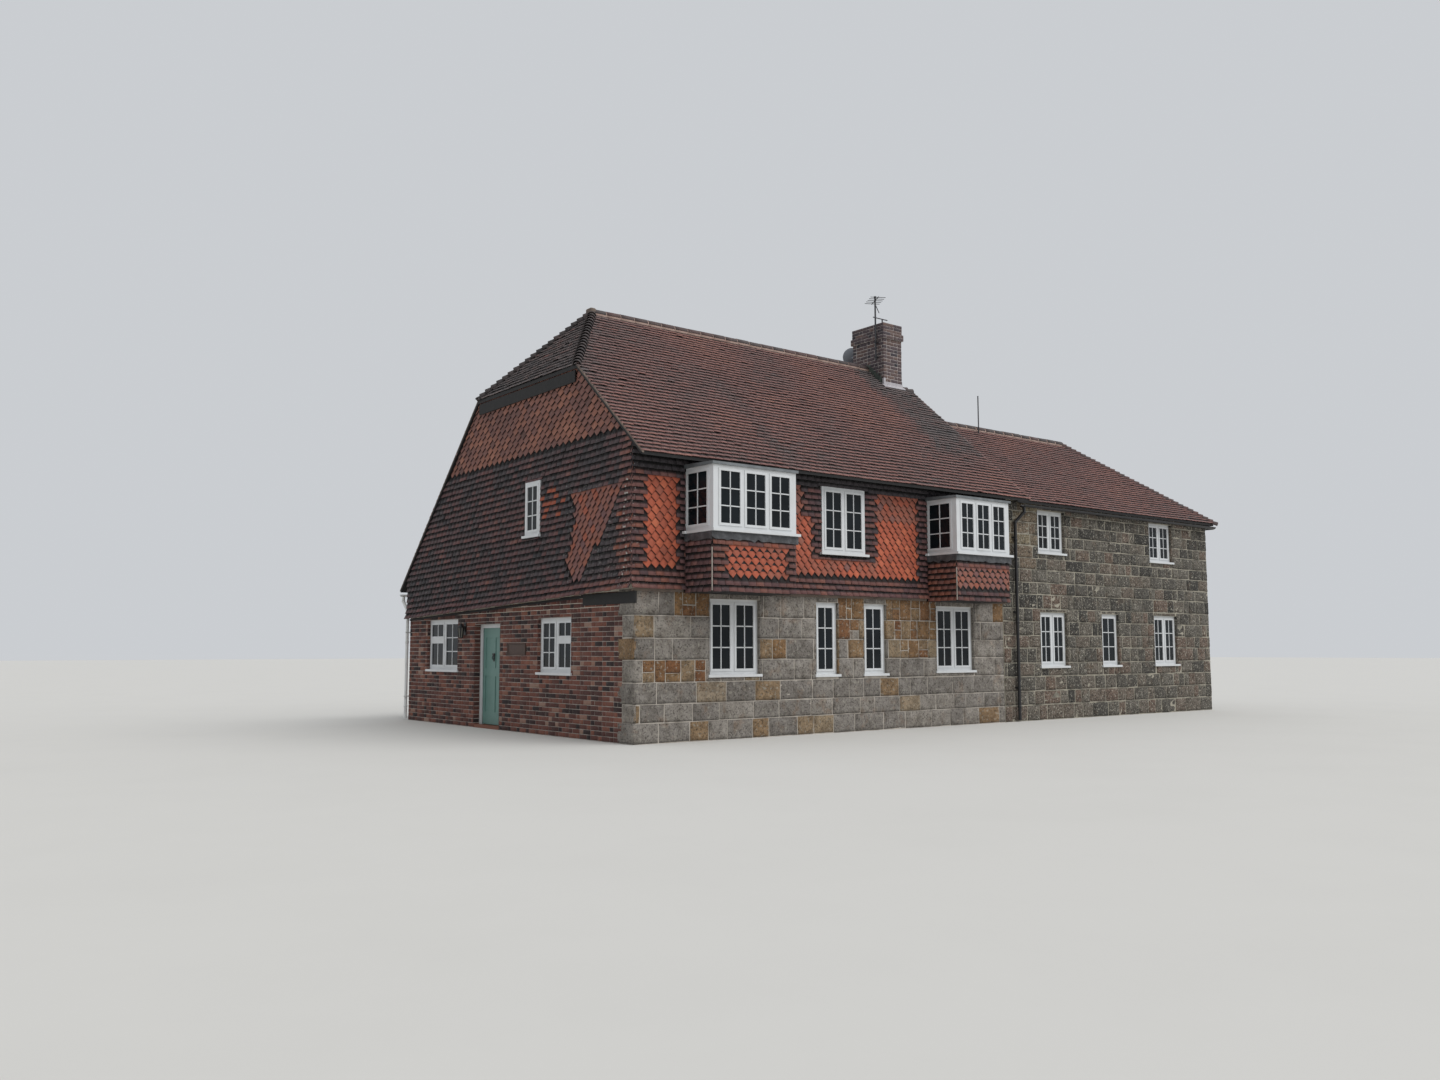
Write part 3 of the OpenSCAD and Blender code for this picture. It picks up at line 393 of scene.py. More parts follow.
def put(obj, body, slot, material):
    """Moves a finished piece from the house's axes to the frame's, dresses it and lets it ride."""
    obj.data.transform(Matrix.Translation(CORNER))
    points = np.empty(len(obj.data.vertices) * 3, np.float32)
    obj.data.vertices.foreach_get("co", points)
    low, high = np.array(cad_low) + INSIDE, np.array(cad_high) - INSIDE
    points = np.clip(points.reshape(-1, 3), low, high)
    obj.data.vertices.foreach_set("co", points.ravel())
    obj.data.update()
    obj.data.materials.append(material)
    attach(obj, body)
    return obj


class Slope:
    """A flat stretch of roof or wall: its start, and the ways along, up and out of it."""

    def __init__(self, start, along, up):
        self.start = np.array(start, float)
        self.along = np.array(Vector(along).normalized())
        self.up = np.array(Vector(up).normalized())
        self.out = np.cross(self.along, self.up)

    def at(self, local):
        """Places points given along, up and out of the slope."""
        return (self.start + local[..., :1] * self.along + local[..., 1:2] * self.up
                + local[..., 2:3] * self.out)


# Base pieces that are modelled once and copied
def halved(obj):
    """Cuts a tile across its width, so that it can be cambered or pointed."""
    pick(obj, "EDGE", lambda a, b: abs(a.x - b.x) > 0.5)
    bpy.ops.mesh.subdivide(number_cuts=1)
    done()


def plain_tile():
    """A cambered tile of width 1, which each copy scales to its own width."""
    tile = block("plain_tile", (-0.5, 0, -TILE_T), (0.5, TILE_LEN, 0))
    halved(tile)
    shift(tile, lambda p: abs(p.x) < 0.1, (0, 0, 0.003))
    return arrays(tile)


def pointed_tile():
    """An ornamental tile with an arrowhead tail, whose edges are rounded off."""
    tile = block("pointed_tile", (-0.5, TAIL_POINT, -TILE_T), (0.5, POINTED_LEN, 0))
    halved(tile)
    shift(tile, lambda p: abs(p.x) < 0.1 and p.y < POINTED_LEN / 2, (0, -TAIL_POINT, 0))
    bevel(tile, 0.011, 1,
          lambda a, b: min(a.z, b.z) > -0.001 and max(a.y, b.y) < POINTED_LEN / 2)
    shift(tile, lambda p: p.z > -0.001 and p.y < POINTED_LEN / 2, (0, 0.005, 0))
    return arrays(tile)


# Share of a unit block that its chamfers take
CHAMFER = 0.1


def chamfered(name):
    """A unit cube whose front edges are worn to a chamfer."""
    piece = block(name, (-0.5, -0.5, -0.5), (0.5, 0.5, 0.5))
    bevel(piece, CHAMFER, 1, lambda a, b: a.z > 0.4 and b.z > 0.4)
    return piece


def stone():
    """A dressed stone: chamfered like a brick, with its face in sixteen fields."""
    piece = chamfered("stone")
    pick(piece, "FACE", lambda c, n: c.z > 0.49)
    bpy.ops.mesh.subdivide(number_cuts=3)
    done()
    return arrays(piece)


PLAIN = plain_tile()
POINTED = pointed_tile()
BRICK = arrays(chamfered("brick"))
STONE = stone()
TILE_BASES = (("plain", PLAIN), ("pointed", POINTED))


# Laying tiles
def patch(x, y, z, size):
    """Slow changes of colour over a surface, from -1 to 1."""
    return noise.noise(Vector((x / size, y / size, z / size)))


def lay_tiles(name, slope, base, seats, seed, rough=1.0):
    """Copies a tile to each seat.

    A seat gives a tile's middle, tail, width, share of its length, reach out at the tail, lean,
    tilt, tone and age. The tone's third channel runs from 0 at a tile's head to 0.8 at its tail,
    and is 1 below its face; the clay finishes paint shade and highlight from it.
    """
    rng = np.random.default_rng(seed)
    seats = np.array(seats)
    count = len(seats)
    u, v, width, length, out, lean, tilt, tone, age = (seats[:, i:i + 1] for i in range(9))
    unit = base[0][None]
    head = unit[..., 1].max()
    x = unit[..., 0] * (width - TILE_JOINT)
    y = unit[..., 1] * length
    z = unit[..., 2] * np.ones((count, 1))
    yaw = tilt + rng.normal(0, 0.008 * rough, (count, 1))
    lift = (0.004 + rng.gamma(1.5, 0.002 * rough, (count, 1))) * (1 - y / head)
    rock = rng.normal(0, 0.009 * rough, (count, 1)) * x
    local = np.stack([
        u + x - yaw * y,
        v + y + yaw * x + rng.normal(0, 0.002 * rough, (count, 1)),
        out + z + lean * y + lift + rock,
    ], axis=-1)
    colour = np.ones((count, unit.shape[1], 4))
    colour[..., 0] = tone
    colour[..., 1] = rng.random((count, 1))
    face = 0.72 if base is POINTED else 0.8 * (1 - unit[..., 1] / head)
    colour[..., 2] = np.where(unit[..., 2] < -0.002, 1.0, face)
    colour[..., 3] = age
    return joined(name, base, slope.at(local), colour)


def roof_rows(length, rafter, shade, gauge=ROOF_GAUGE):
    """Seats for rows of plain tiles up a slope, whose tops reach the slope's own plane."""
    rows = max(1, round(rafter / gauge))
    step = rafter / rows
    seats = []
    for row in range(rows):
        sway = 0.007 * math.sin(row * 0.9) + 0.005 * math.sin(row * 2.3)
        start = (TILE_W / 2 if row % 2 else 0.0) - TILE_W + 0.02 * math.sin(row * 1.7)
        for column in range(int(length / TILE_W) + 3):
            low = max(start + column * TILE_W, 0.0)
            high = min(start + (column + 1) * TILE_W, length)
            if high - low < 0.03:
                continue
            middle = (low + high) / 2
            bow = patch(middle, row * step, 3.0, 2.1)
            dip = patch(middle, row * step, 7.0, 0.55)
            v = row * step
            if row:
                v += sway * 0.4 + 0.014 * bow + 0.007 * dip
            tone, age = shade(middle, v)
            seats.append((middle, v, high - low, 1, 0.012 * bow, -TILE_T / step, 0, tone, age))
    return seats


front_slope = Slope((LEFT_VERGE, EAVE_Y, EAVE_Z), (1, 0, 0), (0, 1, FRONT_PITCH))
rear_lower = Slope((RIGHT_VERGE, REAR_EAVE_Y, REAR_EAVE_Z), (-1, 0, 0), (0, -1, REAR_PITCH))
rear_upper = Slope((RIGHT_VERGE, KNEE_Y, LEFT_HIP_Z), (-1, 0, 0), (0, -1, UPPER_PITCH))
MAIN_RUN = RIGHT_VERGE - LEFT_VERGE


def upright(a, b, keep):
    """A point and the direction of the upright plane over a plan line, facing off a kept point."""
    a, b, keep = Vector(a), Vector(b), Vector(keep)
    normal = Vector((b.y - a.y, a.x - b.x, 0)).normalized()
    if (keep - a).dot(normal) > 0:
        normal = -normal
    return a, normal


def over_line(line, i, edge):
    """The upright plane over one stretch of a half-hip's outline, facing off the main slope."""
    (xa, za), (xb, zb) = line[i], line[i + 1]
    return upright((xa, edge(za), 0), (xb, edge(zb), 0), (MAIN_LEN / 2, edge(za), 0))


def dirt_and_painted_shade(x, y, z):
    """How much darker the front slope is by the left hip, below the stack and in the old sag,
    partly with dirt and moss and partly with painted shade.
    """
    by_hip = max(0.0, 1 - (x - LEFT_VERGE) / 2.6) * held((z - 5.4) / 1.4, 0.0, 1.0)
    by_stack = held((x - 8.3 + 0.2 * patch(x, y, z, 0.5)) / 0.35, 0.0, 1.0)
    by_stack *= held((z - 5.3) / 1.1, 0.0, 1.0)
    sag = max(0.0, 1 - abs(x - 3.3 - 0.1 * patch(0, 0, z, 0.6)) / 0.3)
    sag *= held((6.8 - z) / 0.5, 0.0, 1.0)
    return 0.3 * by_hip + 0.34 * by_stack + 0.16 * sag


def roof_shade(slope, warm, spread, seed):
    """Tone and age of a roof tile: patches of plum and brown, darker in places on the front."""
    rng = np.random.default_rng(seed)

    def shade(u, v):
        x, y, z = slope.at(np.array([u, v, 0.0]))
        tone = warm + 0.18 * patch(x, y, z, 1.5) + 0.06 * patch(x, y, z, 0.5)
        tone += rng.normal(0, spread)
        if slope is front_slope:
            # Dirt, moss and painted shade by the left hip, below the stack and in the sag
            tone -= dirt_and_painted_shade(x, y, z)
        return held(tone, 0.02, 0.95), rng.random()

    return shade


def in_stack(x, y):
    """Whether a point of the roof lies under the stack."""
    left, front, width, depth = STACK
    return left < x < left + width and front < y < front + depth


def main_slope_tiles(name, slope, rafter, edge, seed):
    """Tiles of one main slope, cut along the half-hips and at the ridge."""
    west, east = [], []
    for seat in roof_rows(MAIN_RUN, rafter, roof_shade(slope, 0.52, 0.045, seed)):
        x, y = slope.at(np.array([seat[0], seat[1] + TILE_LEN / 2, 0.0]))[:2]
        if not in_stack(x, y):
            (east if x > STACK[0] + STACK[2] - 0.09 else west).append(seat)
    parts = [
        lay_tiles(name, slope, PLAIN, west, seed),
        lay_tiles(name, slope, PLAIN, east, seed + 1),
    ]
    cut(parts[0], *over_line(LEFT_LINE, 0, edge))
    cut(parts[1], *over_line(RIGHT_LINE, 0, edge))
    tiles = join(name, parts)
    cut(tiles, (0, RIDGE_Y, 0), (0, 1 if slope is front_slope else -1, 0))
    return tiles


def build_main_roof(clay):
    """The tiles of the front slope, and of the rear slope below and above its knee."""
    rafter = (RIDGE_Y - EAVE_Y) * math.hypot(1, FRONT_PITCH)
    front = main_slope_tiles("front_slope_tiles", front_slope, rafter, front_y, 11)
    put(front, "house", "roof_tiles", clay)
    lower = (REAR_EAVE_Y - KNEE_Y) * math.hypot(1, REAR_PITCH)
    upper = (KNEE_Y - RIDGE_Y) * math.hypot(1, UPPER_PITCH)
    parts = [
        main_slope_tiles("rear_slope_tiles", rear_lower, lower, rear_y, 21),
        main_slope_tiles("rear_slope_tiles", rear_upper, upper, rear_y, 23),
    ]
    put(join("rear_slope_tiles", parts), "house", "roof_tiles", clay)


def half_hip_tiles(name, line, facing, seed, warm):
    """Tiles of a half-hip, a flat band between each two breaks of its outline."""
    parts = []
    for i, ((xa, za), (xb, zb)) in enumerate(zip(line, line[1:])):
        front, rear = front_y(za), rear_y(za)
        start = (xa, rear, za) if facing < 0 else (xa, front, za)
        slope = Slope(start, (0, -1 if facing < 0 else 1, 0), (xb - xa, 0, zb - za))
        shade = roof_shade(slope, warm, 0.07, seed + i)
        seats = roof_rows(rear - front, math.hypot(xb - xa, zb - za), shade)
        part = lay_tiles(name, slope, PLAIN, seats, seed + i, 1.4)
        for edge in (front_y, rear_y):
            cut(part, *upright((xa, edge(za), 0), (xb, edge(zb), 0), (xa, RIDGE_Y, 0)))
        parts.append(part)
    return join(name, parts)


def build_half_hips(clay):
    """The tiles of the half-hips, whose seats start at the rear on the left one."""
    left = half_hip_tiles("left_half_hip_tiles", LEFT_LINE, -1, 31, 0.1)
    put(left, "house", "roof_tiles", clay)
    right = half_hip_tiles("right_half_hip_tiles", RIGHT_LINE, 1, 41, 0.2)
    put(right, "house", "roof_tiles", clay)


def build_wing_roof(clay):
    """The tiles of the wing's two long slopes and of its hip."""
    rise = WING_RIDGE_Z - WING_EAVE_Z
    half = WING_RIDGE_Y - WING_EAVE_Y
    length = WING_EAVE_X - MAIN_LEN
    corner = {side: (WING_EAVE_X, WING_RIDGE_Y + side * half, 0) for side in (-1, 1)}
    tip = (WING_HIP_X, WING_RIDGE_Y, 0)
    for name, side, seed in (("wing_front_tiles", -1, 51), ("wing_rear_tiles", 1, 61)):
        start = (MAIN_LEN if side < 0 else WING_EAVE_X, WING_RIDGE_Y + side * half, WING_EAVE_Z)
        slope = Slope(start, (-side, 0, 0), (0, -side * half, rise))
        shade = roof_shade(slope, 0.48, 0.05, seed)
        seats = roof_rows(length, math.hypot(half, rise), shade, WING_GAUGE)
        tiles = lay_tiles(name, slope, PLAIN, seats, seed)
        cut(tiles, *upright(corner[side], tip, (MAIN_LEN, WING_RIDGE_Y + side * half, 0)))
        cut(tiles, (0, WING_RIDGE_Y, 0), (0, -side, 0))
        put(tiles, "house", "roof_tiles", clay)
    start = (WING_EAVE_X, WING_RIDGE_Y - half, WING_EAVE_Z)
    slope = Slope(start, (0, 1, 0), (-WING_HIP_RUN, 0, rise))
    shade = roof_shade(slope, 0.42, 0.05, 71)
    seats = roof_rows(2 * half, math.hypot(WING_HIP_RUN, rise), shade, WING_GAUGE)
    tiles = lay_tiles("wing_hip_slope_tiles", slope, PLAIN, seats, 71)
    for side in (-1, 1):
        cut(tiles, *upright(corner[side], tip, (WING_EAVE_X, WING_RIDGE_Y, 0)))
    put(tiles, "house", "roof_tiles", clay)


# Tile hanging
front_wall = Slope((0, 0, 0), (1, 0, 0), (0, 0, 1))
gable_wall = Slope((0, 0, 0), (0, -1, 0), (0, 0, 1))
# The kick of the lowest tiles: upright to one height, steep to the next, then easing to the wall.
# A tile's own body and play stay inside the frame's kick.
TILE_ROOM = 0.028
SKIRT_OUT = KICK - TILE_ROOM
LIP_H = 0.015
STEEP_H = 0.108


def kicked(height):
    """How far the hanging stands out at a height above its bottom edge."""
    if height < LIP_H:
        return SKIRT_OUT
    if height < STEEP_H:
        return SKIRT_OUT - (height - LIP_H) / (STEEP_H - LIP_H) * SKIRT_OUT * 0.55
    return max(0.0, SKIRT_OUT * 0.45 * (1 - (height - STEEP_H) / (KICK_H - STEEP_H)))


def unkicked(height):
    """The same for hanging that has no skirt."""
    return 0.0


def level(u, height):
    """Courses that run level: no drop and no tilt."""
    return 0.0, 0.0


def round_openings(openings, low, high, tail, drop):
    """Fits the sides, the tail and the share of length of one tile round the openings."""
    length = 1.0
    for a, b, za, zb in openings:
        za, zb = za - drop, zb - drop
        if b <= low or a >= high or zb <= tail or za >= tail + TILE_LEN * length:
            continue
        if za > tail + 0.02:
            length = min(length, (za - tail) / TILE_LEN)
        elif zb < tail + HANG_GAUGE:
            length *= 1 - (zb - tail) / TILE_LEN
            tail = zb
        elif a - low > SLIVER:
            high = min(high, a)
        elif high - b > SLIVER:
            low = max(low, b)
        else:
            high = low
    return low, high, tail, length


def hung_rows(bottom, top, left, right, openings, kind, width=TILE_W, kick=kicked, fall=level,
              first=0):
    """Seats for hung tiles, as plain and pointed ones. kind gives a tile's shape, tone and age."""
    seats = {"plain": [], "pointed": []}
    rows = int((top - bottom) / HANG_GAUGE) + 1
    for row in range(first, rows):
        tail_h = row * HANG_GAUGE
        sway = 0.004 * math.sin(row * 1.3)
        out = kick(tail_h)
        lean = (kick(tail_h + HANG_GAUGE) - out) / HANG_GAUGE - TILE_T / HANG_GAUGE
        for column in range(int((right - left) / width) + 3):
            low = left + (column - 1) * width + (width / 2 if row % 2 else 0) + sway
            high = min(low + width, right)
            low = max(low, left)
            drop, tilt = fall((low + high) / 2, tail_h)
            low, high, tail, length = round_openings(openings, low, high, bottom + tail_h, drop)
            if high - low < SLIVER or length < 0.15:
                continue
            middle = (low + high) / 2
            shape, tone, age = kind(middle, tail + HANG_GAUGE / 2)
            seats[shape].append(
                (middle, tail + drop, high - low, length, out - 0.002, lean, tilt, tone, age))
    return seats


def inside(shape, x, z):
    """Whether a point lies in a polygon."""
    hits = False
    for (xa, za), (xb, zb) in zip(shape, shape[1:] + shape[:1]):
        if (za > z) != (zb > z) and x < xa + (z - za) * (xb - xa) / (zb - za):
            hits = not hits
    return hits


# Panels of pointed tiles on the front: left, right, bottom, top, tone
FRONT_PANELS = (
    (0.29, 0.98, 2.84, 4.44, 0.86), (3.0, 3.97, 2.84, 3.99, 0.8), (3.0, 3.78, 4.0, 4.46, 0.6),
    (3.9, 5.62, 2.84, 3.2, 0.74), (5.62, 6.84, 2.84, 3.95, 0.86), (5.62, 6.84, 3.95, 4.46, 0.66),
)
# Height over which the front's tiles are painted dark as the eaves' shadow
EAVES_SHADOW_Z = 4.47
# The patch of pointed tiles near the corner of the gable, in Y and Z
GABLE_PATCH = (
    (0.35, 4.25), (1.95, 4.33), (1.75, 3.78), (2.06, 3.24), (1.9, 2.78), (1.56, 2.79), (1.0, 3.37),
    (0.43, 4.07),
)
# Height where the gable's band of pointed tiles starts
BAND_Z = 5.17


def front_kind(rng):
    """Shape, tone and age of the front's tiles: orange panels among plum courses, painted eaves
    shadow.
    """
    def kind(x, z):
        for left, right, low, high, tone in FRONT_PANELS:
            if left < x < right and low < z < high:
                return "pointed", tone + 0.05 * patch(x, 0, z, 0.4) + rng.normal(0, 0.06), 0.2
        tone = 0.36 + 0.08 * patch(x, 0, z, 0.6) + rng.normal(0, 0.08)
        # The skirt's courses, then the strip between the corner and the first panel
        if z < HANG_Z + 3 * HANG_GAUGE:
            tone = 0.42 + 0.1 * patch(x, 2, z, 0.7) + rng.normal(0, 0.08)
        elif x < FRONT_PANELS[0][0]:
            tone = 0.45 + rng.normal(0, 0.08)
        # Painted shadow under the eaves
        if z > EAVES_SHADOW_Z:
            tone = 0.06
        return "plain", tone, 1.6 if x < 0.12 else 0.3

    return kind


def gable_kind(rng):
    """Shape, tone and age of the gable's tiles, which are old and dark near the corner."""
    def kind(u, z):
        y = -u
        if inside(GABLE_PATCH, y, z):
            return "pointed", 0.55 + 0.14 * patch(y, 0, z, 0.5) + rng.normal(0, 0.09), 0.4
        # The dark courses above a line that climbs towards the rear
        if z > 4.25 + 0.11 * y:
            tone = 0.2 + 0.1 * patch(y, 0, z, 0.8) + rng.normal(0, 0.08)
            return "plain", tone + (0.24 if y < 0.3 else 0.0), 0.5
        # The strip along the corner
        if y < 0.45:
            tone = 0.4 if z > 3.85 else 0.5
            return "plain", tone + rng.normal(0, 0.08), 2.2 if z < 4.0 else 0.5
        # The skirt's courses
        if z < HANG_Z + 2 * HANG_GAUGE:
            return "plain", 0.5 - 0.06 * min(y, 3.5) + rng.normal(0, 0.06), 0.5
        # The old, black tiles round the patch
        if y < 2.1:
            return "plain", 0.16 + rng.normal(0, 0.07), 1.6
        tone = 0.24 + 0.12 * patch(y, 1, z, 0.9) + 0.06 * patch(y, 5, z, 0.3) + rng.normal(0, 0.08)
        # Orange tiles here and there between the patch and the upper window
        if 2.1 < y < 3.1 and 4.0 < z and rng.random() < 0.4:
            tone = 0.78
        return "plain", tone, 0.6

    return kind


def band_kind(rng):
    """The pointed tiles of the band under the half-hip."""
    def kind(u, z):
        return "pointed", 0.48 + 0.14 * patch(-u, 0, z, 0.8) + rng.normal(0, 0.1), 0.5

    return kind


def oriel_openings():
    """The places on the front that the oriels and their lead roofs take."""
    return [(x, x + w, HANG_Z - 1, z + ORIEL_H + 0.075) for x, w, z in ORIELS]


def hung_tiles(name, wall, seats, seed, rough):
    """The plain and the pointed tiles of a wall as one piece."""
    parts = []
    for i, (shape, base) in enumerate(TILE_BASES):
        if seats[shape]:
            parts.append(lay_tiles(name, wall, base, seats[shape], seed + i, rough))
    return join(name, parts)


def build_front_hanging(clay):
    """The front's hung tiles, round the casement and the two oriels."""
    left, bottom, width, height, _ = CASEMENT
    openings = oriel_openings() + [(left, left + width, bottom - SILL_H, bottom + height)]
    top = EAVE_Z + FRONT_PITCH * -EAVE_Y - 0.12
    kind = front_kind(np.random.default_rng(81))
    seats = hung_rows(HANG_Z, top, 0.0, MAIN_LEN - 0.275, openings, kind)
    tiles = hung_tiles("front_hung_tiles", front_wall, seats, 82, 1.0)
    put(tiles, "house", "hung_tiles", clay)
    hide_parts("front_tile_hanging")


def gable_fall(u, height):
    """How far a gable tile drops below the near corner's course, and how much it tilts."""
    share = max(0.0, 1 - height / (LEFT_HIP_Z - HANG_Z))
    return HANG_FALL * u * share, HANG_FALL * share


def under_roof(tiles):
    """Cuts the hung tiles below the boards of the front and rear slopes."""
    drop = 0.1
    cut(tiles, (0, EAVE_Y, EAVE_Z - drop), (0, -FRONT_PITCH, 1))
    cut(tiles, (0, REAR_EAVE_Y, REAR_EAVE_Z - drop), (0, REAR_PITCH, 1))


def build_gable_hanging(clay, band_clay):
    """The gable's hung tiles, whose courses fall towards the rear, with the band at the top."""
    rear, bottom, width, height, _ = GABLE_WINDOW_UP
    openings = [(-rear, width - rear, bottom - SILL_H, bottom + height)]
    band_row = round((BAND_Z - HANG_Z) / HANG_GAUGE)
    band_foot = HANG_Z + band_row * HANG_GAUGE
    kind = gable_kind(np.random.default_rng(91))
    seats = hung_rows(HANG_Z, band_foot - 0.01, -MAIN_DEPTH, 0.0, openings, kind, fall=gable_fall)
    lower = hung_tiles("gable_hung_tiles", gable_wall, seats, 92, 1.6)
    kind = band_kind(np.random.default_rng(95))
    seats = hung_rows(HANG_Z, LEFT_HIP_Z - 0.1, -MAIN_DEPTH, 0.0, openings, kind, width=BAND_W,
                      fall=gable_fall, first=band_row)
    band = hung_tiles("gable_band_tiles", gable_wall, seats, 96, 1.0)
    for tiles, material in ((lower, clay), (band, band_clay)):
        under_roof(tiles)
        put(tiles, "house", "hung_tiles", material)
    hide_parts("gable_tile_hanging")


# Corners of the wooden fillet under the gable's skirt and of the mortar one under the front's;
# both are dark as painted shadow under the skirts
SHADOW_FILLET = ((0, 0), (0.035, 0), (0.035, -0.05), (0, -0.03))
MORTAR_FILLET = ((0, 0), (0, -0.035), (-0.04, -0.02), (-0.05, 0.01))


def build_skirt_boards(tarred, mortar):
    """The dark boards under the gable's skirt, deepest near the corner, and the front's fillet."""
    out = BRICK_SET - 0.03
    drop = HANG_FALL * MAIN_DEPTH
    board_end = 1.62
    parts = [
        block("board", (out, 0.0, HANG_Z - 0.24), (BRICK_SET + 0.01, board_end, HANG_Z - 0.05)),
        # The fillet along the rest of the gable is tarred dark as painted shadow under the skirt
        fillet_run("fillet", SHADOW_FILLET, (out, board_end, HANG_Z - 0.06),
                   (out, MAIN_DEPTH, HANG_Z - drop), (1, 0, 0)),
    ]
    bevel(parts[0], 0.004)
    put(join("skirt_board_and_shadow_fillet", parts), "house", "tarred_wood", tarred)
    (first, first_w, _), (second, second_w, _) = ORIELS
    gap = 0.03
    z = HANG_Z - 0.01
    parts = []
    for a, b in (
        (0.05, first - gap), (first + first_w + gap, second - gap),
        (second + second_w + gap, MAIN_LEN - 0.32),
    ):
        parts.append(
            fillet_run("edge", MORTAR_FILLET, (a, STONE_SET, z), (b, STONE_SET, z), (0, 1, 0)))
    # The front's fillet takes the dark verge mortar as painted shadow under the skirt
    put(join("skirt_fillet", parts), "house", "stone_ashlar", mortar)


def build_apron_tiles(clay):
    """Hung tiles on the front and the two returns of each oriel's apron."""
    for i, (x, w, z) in enumerate(ORIELS):
        rng = np.random.default_rng(101 + i)
        face = ORIEL_OUT - APRON_IN
        left, right = (0.27, 0.16) if i == 0 else (0.0, 0.0)
        vivid = 0.78 if i == 0 else 0.57

        def front(u, v):
            if left < u < w - right and HANG_Z + 0.22 < v < z - 0.3:
                return "pointed", vivid + rng.normal(0, 0.05), 0.2
            tone = (0.4 if v < HANG_Z + 0.25 else 0.55) - 0.06 * i
            return "plain", tone + rng.normal(0, 0.08), 0.3

        def side(u, v):
            return "plain", (0.36, 0.58)[i] + rng.normal(0, 0.06), 0.3

        parts = []
        for slope, length, kind in (
            (Slope((x, -ORIEL_OUT, 0), (1, 0, 0), (0, 0, 1)), w, front),
            (Slope((x - APRON_IN, 0, 0), (0, -1, 0), (0, 0, 1)), face, side),
            (Slope((x + w + APRON_IN, -face, 0), (0, 1, 0), (0, 0, 1)), face, side),
        ):
            seats = hung_rows(HANG_Z - 0.05, z - 0.25, 0, length, (), kind, kick=unkicked)
            for shape, base in TILE_BASES:
                if seats[shape]:
                    tiles = lay_tiles("apron", slope, base, seats[shape], 103 + len(parts))
                    parts.append(tiles)
        tiles = join(("left", "right")[i] + "_apron_tiles", parts)
        put(tiles, "house", "hung_tiles", clay)


# Masonry
def fitted(unit, low, high, rim):
    """Stretches one axis of a unit block between two faces, and keeps its chamfers' real size."""
    near = low + (unit + 0.5) / CHAMFER * rim
    far = high - (0.5 - unit) / CHAMFER * rim
    middle = low + rim + (unit + 0.4) / 0.8 * (high - low - 2 * rim)
    return np.where(unit <= -0.399, near, np.where(unit >= 0.399, far, middle))


def lay_blocks(name, slope, base, rects, rim, proud, depth, seed, rough, tones):
    """Copies a brick or stone to each rectangle (left, right, bottom, top) of a wall.

    It stands proud of the wall's face, reaches into it by its depth, and is worn by its rim.
    """
    rng = np.random.default_rng(seed)
    rects = np.array(rects)
    unit = base[0]
    count = len(rects)
    x = fitted(unit[None, :, 0], rects[:, :1], rects[:, 1:2], rim)
    y = fitted(unit[None, :, 1], rects[:, 2:3], rects[:, 3:4], rim)
    z = fitted(unit[None, :, 2], -depth * np.ones((count, 1)), proud, rim)
    skin = (unit[:, 2] > -0.4)[None, :, None]
    local = np.stack([x, y, z], axis=-1)
    local += rng.normal(0, rough, local.shape) * skin
    local[..., 2] += rng.normal(0, rough * 0.7, (count, 1)) * skin[..., 0]
    colour = np.ones((count, len(unit), 4))
    colour[..., 0] = np.array(tones)[:, None]
    colour[..., 1] = rng.random((count, 1))
    colour[..., 2] = 1 - (y - rects[:, 2:3]) / (rects[:, 3:4] - rects[:, 2:3])
    return joined(name, base, slope.at(local), colour)


def less(rects, hole):
    """What is left of each rectangle when an opening is taken out of it."""
    a, b, za, zb = hole
    out = []
    for left, right, low, high in rects:
        if b <= left or a >= right or zb <= low or za >= high:
            out.append((left, right, low, high))
            continue
        if left < a:
            out.append((left, a, low, high))
        if right > b:
            out.append((b, right, low, high))
        mid_left, mid_right = max(left, a), min(right, b)
        if low < za:
            out.append((mid_left, mid_right, low, za))
        if high > zb:
            out.append((mid_left, mid_right, zb, high))
    return out


def wall_blocks(left, right, bottom, courses, widths, joint, openings, rng):
    """Rectangles for a coursed wall, bonded and cut round its openings."""
    rects = []
    z = bottom
    for course, height in enumerate(courses):
        x = left - (widths(course, 0, rng) * (0.5 if course % 2 else 1.0) if course % 2 else 0.0)
        count = 0
        while x < right:
            size = widths(course, count, rng)
            count += 1
            a, b = max(x, left), min(x + size, right)
            if right - b < joint * 4:
                b = right
            if b - a > joint * 2:
                rects.append((a, b, z, z + height))
            x = x + size if b < right else right
        z += height
    for hole in openings:
        rects = less(rects, hole)
    half = joint / 2
    return [(a + half, b - half, c + half, d - half) for a, b, c, d in rects
            if b - a > joint * 2.2 and d - c > joint * 2.2]


def flemish(course, count, rng):
    """Widths by Flemish bond, which needs no chance: stretchers and headers by turns."""
    return (STRETCHER if (count + course) % 2 else HEADER) + BRICK_JOINT


def opening_of(window):
    """The hole of a window with its sill."""
    left, bottom, width, height = window[:4]
    return (left, left + width, bottom - SILL_H, bottom + height)


def openings_behind(windows, end):
    """The same for windows of a rear wall, measured from the wall's other end."""
    return [opening_of((end - w[0] - w[2],) + w[1:]) for w in windows]


def brick_tones(rects, rng, base, spread):
    """A tone for each brick, spread about a base."""
    return [held(base + spread * rng.normal(), 0.02, 0.98) for _ in rects]


def brick_courses(height):
    """Enough courses to reach a height."""
    return [BRICK_COURSE] * (int(height / BRICK_COURSE) + 1)


def level_top(height):
    """A top edge that is level."""
    return lambda place: height


def clipped(rects, top):
    """Keeps the blocks below a top edge given as a function of the place along the wall."""
    out = []
    for a, b, c, d in rects:
        limit = top((a + b) / 2)
        if limit - c > 0.03:
            out.append((a, b, c, min(d, limit)))
    return out


